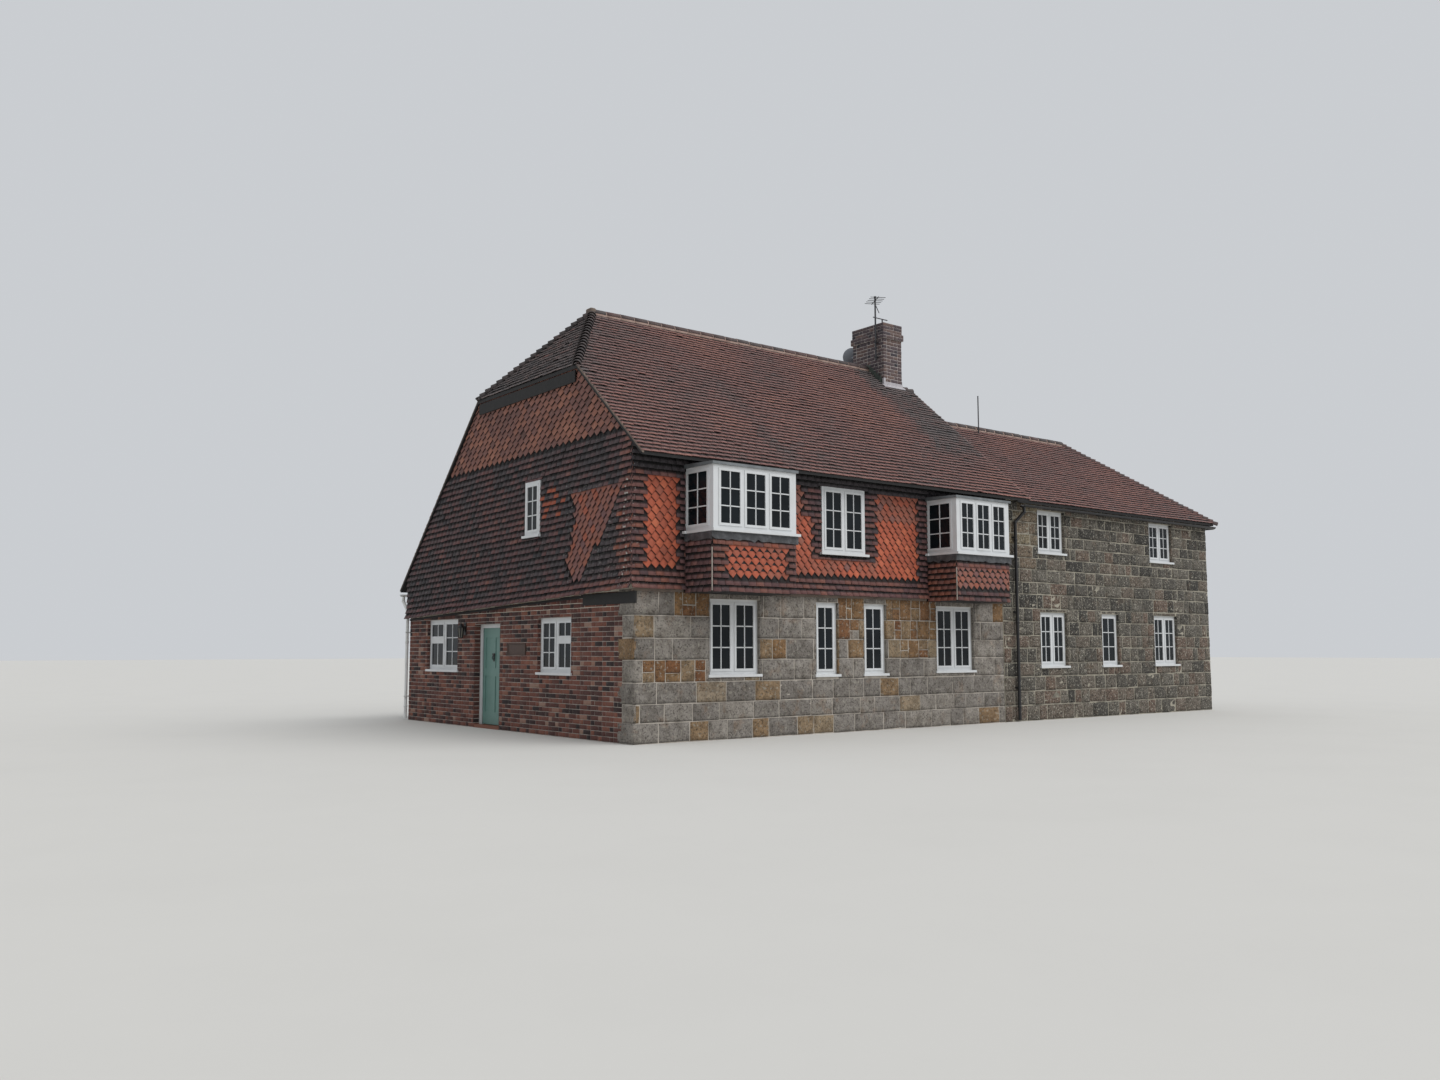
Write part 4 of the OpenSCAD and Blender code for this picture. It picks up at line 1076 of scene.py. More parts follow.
def jambs(name, wall, holes, base, courses, rim, depth, tone_of, seed, sill):
    """Blocks in the courses of a wall on both sides of each opening, back to its frame."""
    rng = np.random.default_rng(seed)
    parts = []
    for a, b, low, high in holes:
        low += sill
        levels, z = [], GROUND_GAP
        for height in courses:
            bottom, top = max(z, low), min(z + height, high)
            if top - bottom > 0.02:
                levels.append((bottom, top))
            z += height
        for place, into in ((a, -1), (b, 1)):
            start = wall.at(np.array([place, 0.0, -depth if into > 0 else 0.0]))
            side = Slope(start, tuple(into * wall.out), tuple(wall.up))
            near, far = (0.0, depth + JAMB_END) if into > 0 else (-JAMB_END, depth)
            rects = [(near, far, c + JAMB_GAP, d - JAMB_GAP) for c, d in levels]
            tones = [tone_of(rng, place, (c + d) / 2) for c, d in levels]
            parts.append(lay_blocks(name, side, base, rects, rim, JAMB_PROUD, JAMB_IN, seed + 1,
                                    0.0008, tones))
    return join(name, parts)


def brick_jambs(name, wall, holes, depth, seed, sill=0.0):
    """Brick jambs in the courses of the ground floor."""
    def tone_of(rng, place, height):
        return held(0.4 + 0.2 * rng.normal(), 0.02, 0.98)

    courses = brick_courses(HANG_Z)
    return jambs(name, wall, holes, BRICK, courses, BRICK_RIM, depth, tone_of, seed, sill)


def brick_wall(name, wall, rects, seed, tones):
    """The bricks of one wall."""
    return lay_blocks(
        name, wall, BRICK, rects, BRICK_RIM, BRICK_PROUD, BRICK_IN, seed, 0.0012, tones)


rear_wall = Slope((MAIN_LEN, MAIN_DEPTH, 0), (-1, 0, 0), (0, 0, 1))


def build_gable_bricks(material):
    """The gable's ground floor, up to the falling edge of the tile hanging."""
    rng = np.random.default_rng(111)
    wall = Slope((BRICK_SET, 0, 0), (0, -1, 0), (0, 0, 1))
    openings = [
        opening_of((-GABLE_WINDOW_RIGHT[0],) + GABLE_WINDOW_RIGHT[1:]),
        opening_of((-GABLE_WINDOW_LEFT[0],) + GABLE_WINDOW_LEFT[1:]),
        (-DOOR_Y, DOOR_W - DOOR_Y, 0, DOOR_H),
    ]
    rects = wall_blocks(-MAIN_DEPTH - BRICK_END, -0.4, GROUND_GAP, brick_courses(HANG_Z), flemish,
                        BRICK_JOINT, openings, rng)
    rects = clipped(rects, lambda u: HANG_Z + HANG_FALL * u + 0.01)
    bricks = brick_wall("gable_bricks", wall, rects, 112, brick_tones(rects, rng, 0.42, 0.28))
    put(bricks, "house", "brick", material)
    sides = brick_jambs("gable_window_jambs", wall, openings[:2], WINDOW_JAMB, 113, SILL_H)
    put(sides, "house", "brick", material)
    put(brick_jambs("door_jambs", wall, openings[2:], DOOR_JAMB, 115), "house", "brick", material)


def build_rear_jambs(material):
    """The sides of the rear windows."""
    holes = openings_behind(REAR_WINDOWS, MAIN_LEN)
    sides = brick_jambs("rear_window_jambs", rear_wall, holes, WINDOW_JAMB, 117, SILL_H)
    put(sides, "house", "brick", material)


def build_rear_bricks(material):
    """The rear wall of the main block, up to the boards of the eaves."""
    rng = np.random.default_rng(121)
    openings = openings_behind(REAR_WINDOWS, MAIN_LEN)
    rects = wall_blocks(-BRICK_END, MAIN_LEN - BRICK_SET + 0.008, GROUND_GAP, brick_courses(3.0),
                        flemish, BRICK_JOINT, openings, rng)
    rects = clipped(rects, level_top(3.02))
    bricks = brick_wall("rear_bricks", rear_wall, rects, 122, brick_tones(rects, rng, 0.42, 0.17))
    put(bricks, "house", "brick", material)


def build_side_bricks(material):
    """The part of the dividing wall that shows over and behind the wing."""
    rng = np.random.default_rng(131)
    wall = Slope((MAIN_LEN, 0, 0), (0, 1, 0), (0, 0, 1))
    behind_wing = (WING_Y0, WING_Y1, 0, WING_EAVE_Z - 0.1)
    rects = wall_blocks(WING_Y0 + 0.5, MAIN_DEPTH + BRICK_END, GROUND_GAP,
                        brick_courses(RIGHT_HIP_Z), flemish, BRICK_JOINT, [behind_wing], rng)
    rects = clipped(rects, lambda y: min(roof_z(y), RIGHT_HIP_Z) - 0.1)
    rects = [r for r in rects if r[1] > WING_Y1 or r[3] > wing_z(r[0], r[1]) - 0.06]
    bricks = brick_wall("side_bricks", wall, rects, 132, brick_tones(rects, rng, 0.4, 0.16))
    put(bricks, "house", "brick", material)


def wing_z(a, b):
    """Lower of the wing roof's heights over the two ends of a block."""
    pitch = (WING_RIDGE_Z - WING_EAVE_Z) / (WING_RIDGE_Y - WING_EAVE_Y)
    return WING_RIDGE_Z - pitch * max(abs(a - WING_RIDGE_Y), abs(b - WING_RIDGE_Y))


def roof_height(x, y):
    """Height of the main roof or its right half-hip over a point."""
    places = [p[0] for p in RIGHT_LINE][::-1]
    heights = [p[1] for p in RIGHT_LINE][::-1]
    return min(roof_z(y), float(np.interp(x, places, heights)))


def build_flashing(pale, dark):
    """A lead apron at the stack's foot, stepped lead up its sides and an upstand behind it."""
    x, y, w, d = STACK
    foot = roof_z(y)
    reach = 0.075
    lip = block("lip", (x - 0.05, y - reach, foot - 0.006),
                (x + w + 0.06, y + 0.004, foot + 0.012))
    shift(lip, lambda p: p.y < y - 0.05, (0, 0, -reach * FRONT_PITCH))
    bevel(lip, 0.003, 2)
    rear = roof_z(y + d)
    left, right = x - 0.012, x + w + 0.012
    pieces = [
        block("upstand", (left, y - 0.018, foot - 0.03), (right, y + 0.005, foot + 0.07)),
        block("corner", (x - 0.03, y - 0.034, foot - 0.02), (x + 0.03, y + 0.02, foot + 0.15)),
        block("back", (left, y + d - 0.005, rear - 0.06), (right, y + d + 0.016, rear + 0.1)),
    ]
    for piece in pieces:
        bevel(piece, 0.004, 2)
    apron = join("stack_apron", [lip] + pieces)
    put(apron, "house", "lead", pale)
    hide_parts("chimney_flashing")
    steps = []
    count = 12
    width = d / count
    for side in (x, x + w):
        for k in range(count):
            a, b = y + k * width, y + (k + 1) * width
            heights = (roof_height(side, a), roof_height(side, b))
            out = 0.014 + 0.002 * (k % 2)
            step = block("step", (side - out, a - 0.004, min(heights) - 0.06),
                         (side + out, b + 0.004, max(heights) + 0.085))
            bevel(step, 0.003)
            steps.append(step)
    put(join("stack_step_lead", steps), "house", "lead", dark)


def stack_faces(grow):
    """The four upright faces of the stack or of one course of its cap, from above its corner."""
    x, y, w, d = STACK
    x0, x1, y0, y1 = x - grow, x + w + grow, y - grow, y + d + grow
    return (
        (Slope((x0, y0, 0), (1, 0, 0), (0, 0, 1)), x1 - x0),
        (Slope((x1, y0, 0), (0, 1, 0), (0, 0, 1)), y1 - y0),
        (Slope((x1, y1, 0), (-1, 0, 0), (0, 0, 1)), x1 - x0),
        (Slope((x0, y1, 0), (0, -1, 0), (0, 0, 1)), y1 - y0),
    )


# Tones of the stack's faces, darker with painted shade on the faces turned from the light: front,
# right, rear, left
STACK_FACE_SHADES = (0.4, 0.36, 0.33, 0.3)
STACK_COURSE = 0.08


def stack_bricks(face, grow, foot, rows, bond, joint, depth, seed, rng):
    """The bricks of one face of the stack or of a course of its cap."""
    wall, length = stack_faces(grow)[face]
    proud = 0.007
    # Faces that meet end at slightly different places, so that no two ends share a plane
    edge = proud - 0.0004 * face
    rects = wall_blocks(-edge, length + edge, foot, rows, bond, joint, (), rng)
    # Each face's base tone carries its painted shade
    tones = brick_tones(rects, rng, STACK_FACE_SHADES[face], 0.14)
    return lay_blocks("stack", wall, BRICK, rects, BRICK_RIM, proud, depth, seed, 0.0016, tones)


def build_chimney_bricks(material):
    """The stack, and its cap of two oversailing courses and three above them."""
    rng = np.random.default_rng(141)
    parts = []
    rows = [STACK_COURSE] * round((STACK_Z - RIDGE_Z + 1.3) / STACK_COURSE)
    foot = STACK_Z - STACK_COURSE * len(rows)
    for face in range(4):
        parts.append(
            stack_bricks(face, 0, foot, rows, flemish, BRICK_JOINT, BRICK_IN, 142 + face, rng))
    band = (CAP_Z - STACK_Z) / len(CAP_OUTS)
    for row, grow in enumerate(CAP_OUTS):
        def bond(course, count, rng):
            return flemish(row, count, rng)

        for face in range(4):
            parts.append(stack_bricks(face, grow, STACK_Z + row * band, [band], bond,
                                      BRICK_JOINT * 0.8, 0.05, 150 + row * 4 + face, rng))
    put(join("chimney_bricks", parts), "house", "chimney_brick", material)


def stone_widths(small, large):
    """Widths by chance between two sizes, with more small ones than large."""
    return lambda course, count, rng: small + (large - small) * rng.random() ** 1.3


def laid_stones(name, wall, rects, tone_of, seed, rough, rng):
    """The stones of a wall, apart from chips too small to lay."""
    rects = [r for r in rects if r[1] - r[0] > 0.04 and r[3] - r[2] > 0.03]
    tones = [tone_of(rng, (r[0] + r[1]) / 2, (r[2] + r[3]) / 2) for r in rects]
    return lay_blocks(
        name, wall, STONE, rects, STONE_RIM, STONE_PROUD, STONE_IN, seed, rough, tones)


# Places on the front where the stone is tan, rough rubble: left, right, low, high
RUBBLE = (
    (0.85, 1.6, 1.95, 2.45), (0.3, 1.6, 0.95, 1.3), (2.85, 3.4, 1.2, 1.65), (4.7, 5.3, 1.85, 2.5),
    (6.0, 7.3, 1.2, 2.45), (8.9, 9.4, 2.0, 2.4),
)


def in_rubble(x, z):
    """Whether a place on the front lies in the rubble."""
    return any(left < x < right and low < z < high for left, right, low, high in RUBBLE)


def ashlar_tone(rng, x, z):
    """Grey blocks with a tan one here and there, and tan and brown ones in the rubble."""
    if in_rubble(x, z):
        return 0.6 + 0.4 * rng.random()
    if rng.random() < 0.86:
        return 0.12 + 0.3 * rng.random()
    return 0.55 + 0.2 * rng.random()


def broken(rects, rng):
    """Splits the blocks that stand in the rubble into smaller, uneven stones."""
    out = []
    for a, b, c, d in rects:
        if not in_rubble((a + b) / 2, (c + d) / 2) or b - a < 0.34:
            out.append((a, b, c, d))
            continue
        side = a + (b - a) * rng.uniform(0.35, 0.65)
        bed = c + (d - c) * rng.uniform(0.4, 0.6)
        out.append((a, side - 0.007, c, d))
        out.append((side + 0.007, b, c, bed - 0.006))
        out.append((side + 0.007, b, bed + 0.006, d))
    return out


# Courses of the two stone walls, from the ground
ASHLAR_COURSES = (0.33, 0.3, 0.35, 0.37, 0.36, 0.37, 0.44)
WING_COURSES = (
    0.33, 0.3, 0.31, 0.29, 0.32, 0.27, 0.3, 0.28, 0.31, 0.26, 0.28, 0.25, 0.27, 0.24, 0.26, 0.24,
    0.25,
)


def stone_jambs(name, wall, holes, courses, tone_of, seed):
    """Dressed stones on the sides of a wall's windows."""
    return jambs(name, wall, holes, STONE, courses, STONE_RIM, WINDOW_JAMB, tone_of, seed, SILL_H)


def build_front_stones(material):
    """The squared stone of the front's ground floor, with its return on the gable."""
    rng = np.random.default_rng(161)
    wall = Slope((0, STONE_SET, 0), (1, 0, 0), (0, 0, 1))
    openings = [opening_of(w) for w in GROUND_WINDOWS]
    rects = wall_blocks(BRICK_SET - 0.008, MAIN_LEN - 0.4, GROUND_GAP, ASHLAR_COURSES,
                        stone_widths(0.32, 0.8), ASHLAR_JOINT, openings, rng)
    rects = broken(clipped(rects, level_top(2.56)), rng)
    stones = laid_stones("front_stones", wall, rects, ashlar_tone, 162, 0.0028, rng)
    put(stones, "house", "stone_ashlar", material)
    sides = stone_jambs("front_window_jambs", wall, openings, ASHLAR_COURSES, ashlar_tone, 163)
    put(sides, "house", "stone_ashlar", material)
    put(gable_quoins(), "house", "stone_ashlar", material)


def gable_quoins():
    """The corner stones on the gable, long and short by turns."""
    rng = np.random.default_rng(165)
    wall = Slope((BRICK_SET, 0, 0), (0, -1, 0), (0, 0, 1))
    half = ASHLAR_JOINT / 2
    near = -STONE_SET + STONE_END
    rects = []
    z = GROUND_GAP
    for i, height in enumerate(ASHLAR_COURSES):
        reach = 0.4 if i % 2 else 0.52
        rects.append((-reach + half, near, z + half, min(z + height, HANG_Z) - half))
        z += height
    tones = [ashlar_tone(rng, -1, 0) for _ in rects]
    return lay_blocks(
        "gable_quoins", wall, STONE, rects, STONE_RIM, 0.0095, STONE_IN, 166, 0.0025, tones)


def wing_tone(rng, x, z):
    """Grey-green stones, browner low down, with yellow ones high up by the downpipe."""
    if 9.8 < x < 10.6 and z > 3.3:
        return min(0.9 + 0.1 * rng.random(), 0.98)
    low = 0.2 if z < 1.9 else 0.0
    return held(0.4 + low + 0.2 * patch(x, 0, z, 1.3) + 0.24 * rng.normal(), 0.02, 0.86)


def wing_stones(name, wall, left, right, sizes, openings, seed, rough):
    """The coursed stones of one of the wing's walls."""
    rng = np.random.default_rng(seed)
    rects = wall_blocks(left, right, GROUND_GAP, WING_COURSES, stone_widths(*sizes), RUBBLE_JOINT,
                        openings, rng)
    rects = clipped(rects, level_top(WING_EAVE_Z - 0.02))
    return laid_stones(name, wall, rects, wing_tone, seed + 1, rough, rng)


def build_wing_stones(material):
    """The wing's three walls and the sides of its windows."""
    front = Slope((0, WING_Y0, 0), (1, 0, 0), (0, 0, 1))
    rear = Slope((WING_X1, WING_Y1, 0), (-1, 0, 0), (0, 0, 1))
    end = Slope((WING_X1, 0, 0), (0, 1, 0), (0, 0, 1))
    openings = [opening_of(w) for w in WING_WINDOWS]
    holes = openings_behind(WING_REAR_WINDOWS, WING_X1)
    stones = wing_stones("wing_front_stones", front, MAIN_LEN - 0.4, WING_X1 + STONE_END,
                         (0.2, 0.66), openings, 171, 0.0038)
    put(stones, "house", "stone_wing", material)
    sides = [
        stone_jambs("jambs", front, openings, WING_COURSES, wing_tone, 173),
        stone_jambs("jambs", rear, holes, WING_COURSES, wing_tone, 177),
    ]
    put(join("wing_window_jambs", sides), "house", "stone_wing", material)
    stones = wing_stones("wing_end_stones", end, WING_Y0 - STONE_END, WING_Y1 + STONE_END,
                         (0.22, 0.62), (), 175, 0.004)
    put(stones, "house", "stone_wing", material)
    stones = wing_stones("wing_rear_stones", rear, -0.008, WING_X1 - MAIN_LEN, (0.22, 0.62), holes,
                         179, 0.004)
    put(stones, "house", "stone_wing", material)


# Ridges and hips: radius of a ridge tile, its length and the space that each takes, and the
# depth of the middle of its arch below the slopes' meeting line
RIDGE_R = 0.105
RIDGE_TILE = 0.315
RIDGE_STEP = 0.34
RIDGE_SINK = 0.06


def arch_tile(name, radius, end_radius, length, thick, cut_at):
    """A curved tile along X: an open tube or cone with its lower part cut away, made thick."""
    bpy.ops.object.select_all(action="DESELECT")
    bpy.ops.mesh.primitive_cone_add(vertices=20, radius1=radius, radius2=end_radius, depth=length,
                                    end_fill_type="NOTHING", rotation=(0, math.pi / 2, 0))
    tile = bpy.context.object
    tile.name = name
    bpy.ops.object.transform_apply(location=True, rotation=True, scale=True)
    bpy.ops.object.mode_set(mode="EDIT")
    bpy.ops.mesh.select_all(action="SELECT")
    bpy.ops.mesh.bisect(plane_co=(0, 0, cut_at), plane_no=(0, 0, -1), clear_outer=True)
    bpy.ops.mesh.select_all(action="SELECT")
    bpy.ops.mesh.normals_make_consistent(inside=False)
    done()
    wall = tile.modifiers.new("thickness", "SOLIDIFY")
    wall.thickness = thick
    wall.offset = -1
    active(tile)
    bpy.ops.object.modifier_apply(modifier=wall.name)
    return tile


def run_tiles(name, base, start, end, count, seed, tone, spread, tip=0.0, drop=0.0):
    """Copies a curved tile along a line, each with its own small tilt and tone."""
    rng = np.random.default_rng(seed)
    start, end = Vector(start), Vector(end)
    step = (end - start) / count
    along = step.normalized()
    side = Vector((0, 0, 1)).cross(along).normalized()
    up = along.cross(side)
    points, colours = [], []
    for i in range(count):
        turn = rng.normal(0, 0.01)
        a = (along + side * turn + up * (rng.normal(0, 0.006) - tip)).normalized()
        s = up.cross(a).normalized()
        u = a.cross(s)
        axes = np.array([a, s, u])
        centre = np.array(start + step * (i + 0.5) + up * (rng.normal(0, 0.002) - drop))
        points.append(base[0] @ axes + centre)
        colour = np.ones((len(base[0]), 4))
        colour[:, 0] = held(tone + rng.normal(0, spread), 0.02, 0.98)
        colour[:, 1] = rng.random()
        colour[:, 2] = 0.6
        colour[:, 3] = rng.random()
        colours.append(colour)
    return joined(name, base, np.array(points), np.array(colours))


def build_ridges(clay, mortar):
    """The half-round tiles of both ridges, on a bed of mortar that shows between them."""
    tile = arrays(arch_tile("ridge_tile", RIDGE_R, RIDGE_R, RIDGE_TILE, 0.016, 0.005))
    bed = arrays(arch_tile("ridge_bed", RIDGE_R - 0.005, RIDGE_R - 0.005, 0.35, 0.03, -0.045))
    left = (LEFT_LINE[1][0] - 0.06, RIDGE_Y, RIDGE_Z - RIDGE_SINK)
    right = (STACK[0] - 0.012, RIDGE_Y, RIDGE_Z - RIDGE_SINK)
    wing_left = (MAIN_LEN, WING_RIDGE_Y, WING_RIDGE_Z - RIDGE_SINK)
    wing_right = (WING_HIP_X + 0.06, WING_RIDGE_Y, WING_RIDGE_Z - RIDGE_SINK)
    tiles, beds = [], []
    for i, (a, b, tone) in enumerate(((left, right, 0.3), (wing_left, wing_right, 0.25))):
        count = round((Vector(b) - Vector(a)).length / RIDGE_STEP)
        tiles.append(run_tiles("ridge", tile, a, b, count, 181 + i, tone, 0.06))
        beds.append(run_tiles("bed", bed, a, b, count, 181 + i, 0.5, 0.1))
    whole = join("ridge_tile_row", tiles)
    put(whole, "house", "ridge_tiles", clay)
    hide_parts("ridge_tiles")
    put(join("ridge_bedding", beds), "house", "ridge_tiles", mortar)


def build_hips(clay):
    """Bonnet tiles, one to a course, with their tails lifted over the tile below."""
    bonnet = arrays(arch_tile("bonnet", 0.098, 0.07, 0.2, 0.014, -0.02))
    parts = []
    seed = 191
    for line, tone, low in ((LEFT_LINE, 0.16, 0.0), (RIGHT_LINE[:2], 0.2, 0.04)):
        for edge in (front_y, rear_y):
            for (xa, za), (xb, zb) in zip(line, line[1:]):
                a = Vector((xa, edge(za), za - 0.055))
                b = Vector((xb, edge(zb), zb - 0.055))
                count = max(2, round((b - a).length / 0.15))
                parts.append(
                    run_tiles("bonnet", bonnet, a, b, count, seed, tone, 0.07, tip=0.12, drop=low))
                seed += 1
    half = WING_RIDGE_Y - WING_EAVE_Y
    for side in (-1, 1):
        a = (WING_EAVE_X, WING_RIDGE_Y + side * half, WING_EAVE_Z - RIDGE_SINK)
        b = (WING_HIP_X, WING_RIDGE_Y, WING_RIDGE_Z - RIDGE_SINK)
        parts.append(run_tiles("bonnet", bonnet, a, b, 32, seed, 0.38, 0.09, tip=0.1))
        seed += 1
    whole = join("hip_bonnets", parts)
    cut(whole, (LEFT_VERGE - 0.03, 0, 0), (-1, 0, 0))
    cut(whole, (WING_EAVE_X + 0.02, 0, 0), (1, 0, 0))
    put(whole, "house", "roof_tiles", clay)
    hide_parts("hip_tiles")


# Corners of the bedding under a verge, inwards from it and down
VERGE_BED = ((-0.004, -0.05), (0.03, -0.05), (0.03, -0.022), (-0.004, -0.022))


def build_verges(mortar):
    """The bedding under the verge tiles, and the lump that closes the ridge at the left."""
    runs = []
    for x, side, hip in ((LEFT_VERGE, 1, LEFT_HIP_Z), (RIGHT_VERGE, -1, RIGHT_HIP_Z)):
        runs.append(((x, EAVE_Y, EAVE_Z), (x, front_y(hip), hip), side))
        runs.append(((x, REAR_EAVE_Y, REAR_EAVE_Z), (x, KNEE_Y, LEFT_HIP_Z), side))
    x = RIGHT_VERGE
    runs.append(((x, KNEE_Y, LEFT_HIP_Z), (x, rear_y(RIGHT_HIP_Z), RIGHT_HIP_Z), -1))
    parts = [fillet_run("bed", VERGE_BED, a, b, (side, 0, 0)) for a, b, side in runs]
    x = LEFT_LINE[1][0]
    low, high = RIDGE_Z - 0.1, RIDGE_Z + 0.045
    lump = block("lump", (x - 0.1, RIDGE_Y - 0.1, low), (x + 0.03, RIDGE_Y + 0.1, high))
    bevel(lump, 0.03, 3)
    put(join("verge_bedding", parts + [lump]), "house", "ridge_tiles", mortar)


# Windows: width of a glazing bar, its front and back behind the frame's face, its run into the
# sash, and the rows of panes in a light
BAR = 0.02
BAR_DEPTH = (-0.004, 0.026)
BAR_END = 0.004
PANE_ROWS = 3


def light_bars(left, bottom, width, height, depth):
    """Corner pairs of the glazing bars of one light, two panes wide, in the window's own plane."""
    x = left + width / 2
    bars = [((x - BAR / 2, depth[0], bottom), (x + BAR / 2, depth[1], bottom + height))]
    for row in range(1, PANE_ROWS):
        z = bottom + height * row / PANE_ROWS
        bars.append(((left, depth[0], z - BAR / 2), (left + width, depth[1], z + BAR / 2)))
    return bars


def vent_bars(left, bottom, width, height, depth):
    """A top-hung vent over a fixed light, parted by their two rails."""
    low, high = bottom + 0.53 * height, bottom + 0.67 * height
    front = depth[0] - 0.008
    lip = 0.012
    middle = left + width / 2
    return [
        ((left, front, low), (left + width, depth[1], high)),
        ((left - lip, front - 0.004, high - 0.006), (left + width + lip, depth[1], high + 0.03)),
        ((middle - BAR / 2, depth[0], bottom), (middle + BAR / 2, depth[1], low)),
        ((middle - BAR / 2, depth[0], high), (middle + BAR / 2, depth[1], bottom + height)),
    ]


def window_bars(window, vent=None):
    """The bars of all lights of a window, one of which may have a vent."""
    left, bottom, width, height, lights = window
    light = (width - 2 * FRAME_W - (lights - 1) * FRAME_W) / lights
    bars = []
    for i in range(lights):
        x = left + FRAME_W + i * (light + FRAME_W) + SASH_W
        place = (
            x - BAR_END, bottom + FRAME_W + SASH_W - BAR_END, light - 2 * SASH_W + 2 * BAR_END,
            height - 2 * FRAME_W - 2 * SASH_W + 2 * BAR_END, BAR_DEPTH,
        )
        bars += vent_bars(*place) if i == vent else light_bars(*place)
    return bars


def turned(corners, angle, origin):
    """Turns boxes by quarter turns about Z and moves them."""
    turn = Matrix.Rotation(angle, 4, "Z")
    out = []
    for low, high in corners:
        a, b = turn @ Vector(low) + Vector(origin), turn @ Vector(high) + Vector(origin)
        out.append((Vector(map(min, a, b)), Vector(map(max, a, b))))
    return out


def home(window):
    """The same window with its left side at the origin."""
    return (0,) + tuple(window[1:])


def build_glazing_bars(white):
    """The bars of all the windows, which stand in the sashes of the frame's own joinery."""
    quarter = math.pi / 2
    corners = window_bars(CASEMENT)
    for windows, face in ((GROUND_WINDOWS, STONE_SET), (WING_WINDOWS, WING_Y0)):
        for w in windows:
            corners += turned(window_bars(w), 0, (0, face + REVEAL, 0))
    for windows, face in ((WING_REAR_WINDOWS, WING_Y1), (REAR_WINDOWS, MAIN_DEPTH)):
        for w in windows:
            corners += turned(window_bars(home(w)), math.pi, (w[0] + w[2], face - REVEAL, 0))
    brick_face = BRICK_SET + REVEAL
    for w, face, vent in (
        (GABLE_WINDOW_UP, 0, None), (GABLE_WINDOW_RIGHT, brick_face, 1),
        (GABLE_WINDOW_LEFT, brick_face, 0),
    ):
        corners += turned(window_bars(home(w), vent), -quarter, (face, w[0], 0))
    for x, w, z in ORIELS:
        side = ORIEL_POST - FRAME_W
        front = (x + side, z, w - 2 * side, ORIEL_H, 3)
        flank = (0, z, ORIEL_OUT - FRAME_T + HANG_T, ORIEL_H, 1)
        corners += turned(window_bars(front), 0, (0, -ORIEL_OUT, 0))
        corners += turned(window_bars(flank), -quarter, (x, HANG_T, 0))
        corners += turned(window_bars(flank), quarter, (x + w, FRAME_T - ORIEL_OUT, 0))
    bars = boxes("glazing_bars", corners, 0.003)
    put(bars, "house", "white_joinery", white)


def build_corner_dabs(mortar):
    """Dabs of old mortar on the gable's tiles beside the corner."""
    bpy.ops.object.select_all(action="DESELECT")
    bpy.ops.mesh.primitive_ico_sphere_add(subdivisions=2, radius=1)
    base = arrays(bpy.context.object)
    rng = np.random.default_rng(205)
    points, colours = [], []
    count = 18
    for i in range(count):
        row = 2 + round(14 * i / (count - 1))
        height = HANG_Z + row * HANG_GAUGE + 0.012
        across = 0.1 + 0.14 * rng.random()
        out = kicked(row * HANG_GAUGE) + 0.012
        shape = base[0] * np.array([0.007, rng.uniform(0.012, 0.03), rng.uniform(0.01, 0.02)])
        shape = shape * (1 + 0.35 * rng.normal(0, 1, (len(shape), 1)).clip(-1, 1))
        points.append(shape + np.array([-out, across, height]))
        colours.append(np.ones((len(shape), 4)) * 0.5)
    dabs = joined("corner_mortar_dabs", base, np.array(points), np.array(colours))
    put(dabs, "house", "hung_tiles", mortar)


def build_oriel_trim(lead, mortar):
    """A band of lead under each oriel's sill, and the mortar up the corners of its apron."""
    bands, corners = [], []
    for i, (x, w, z) in enumerate(ORIELS):
        top = z - SILL_H + 0.005
        foot = top - 0.13
        stand, thick = 0.014, 0.03
        face = -ORIEL_OUT - stand
        left, right = x - APRON_IN - stand, x + w + APRON_IN + stand
        for name, low, high, axis, cuts in (
            ("front", (left, face, foot), (right, face + thick, top), 0, 22),
            ("left", (left, face + thick, foot), (left + thick, -0.005, top), 1, 9),
            ("right", (right - thick, face + thick, foot), (right, -0.005, top), 1, 9),
        ):
            band = block("band_" + name, low, high)
            ragged(band, axis, cuts, lambda p: p.z < foot + 0.01, 0.05, 5.0 + i)
            bands.append(band)
        edge = x - APRON_IN - 0.005
        corners.append(block("corner", (edge, -ORIEL_OUT - 0.004, HANG_Z - 0.04),
                             (edge + 0.012, -ORIEL_OUT + 0.013, foot - 0.14)))
    put(join("oriel_lead_bands", bands), "house", "lead", lead)
    put(join("apron_corner_mortar", corners), "house", "hung_tiles", mortar)


# Fittings
def disc(name, centre, radius, thick, axis):
    """A round plate with a softened rim."""
    half = Vector(axis) * thick / 2
    plate = rod(name, Vector(centre) - half, Vector(centre) + half, radius, 24)
    bevel(plate, thick * 0.3, 2, lambda a, b: abs((a - b).dot(Vector(axis))) < thick / 2)
    return plate


def ring(name, centre, radius, wire, turn):
    """A ring of round wire."""
    bpy.ops.object.select_all(action="DESELECT")
    bpy.ops.mesh.primitive_torus_add(major_radius=radius, minor_radius=wire, major_segments=24,
                                     minor_segments=8, location=centre, rotation=turn)
    obj = bpy.context.object
    obj.name = name
    bpy.ops.object.transform_apply(location=True, rotation=True, scale=True)
    return obj


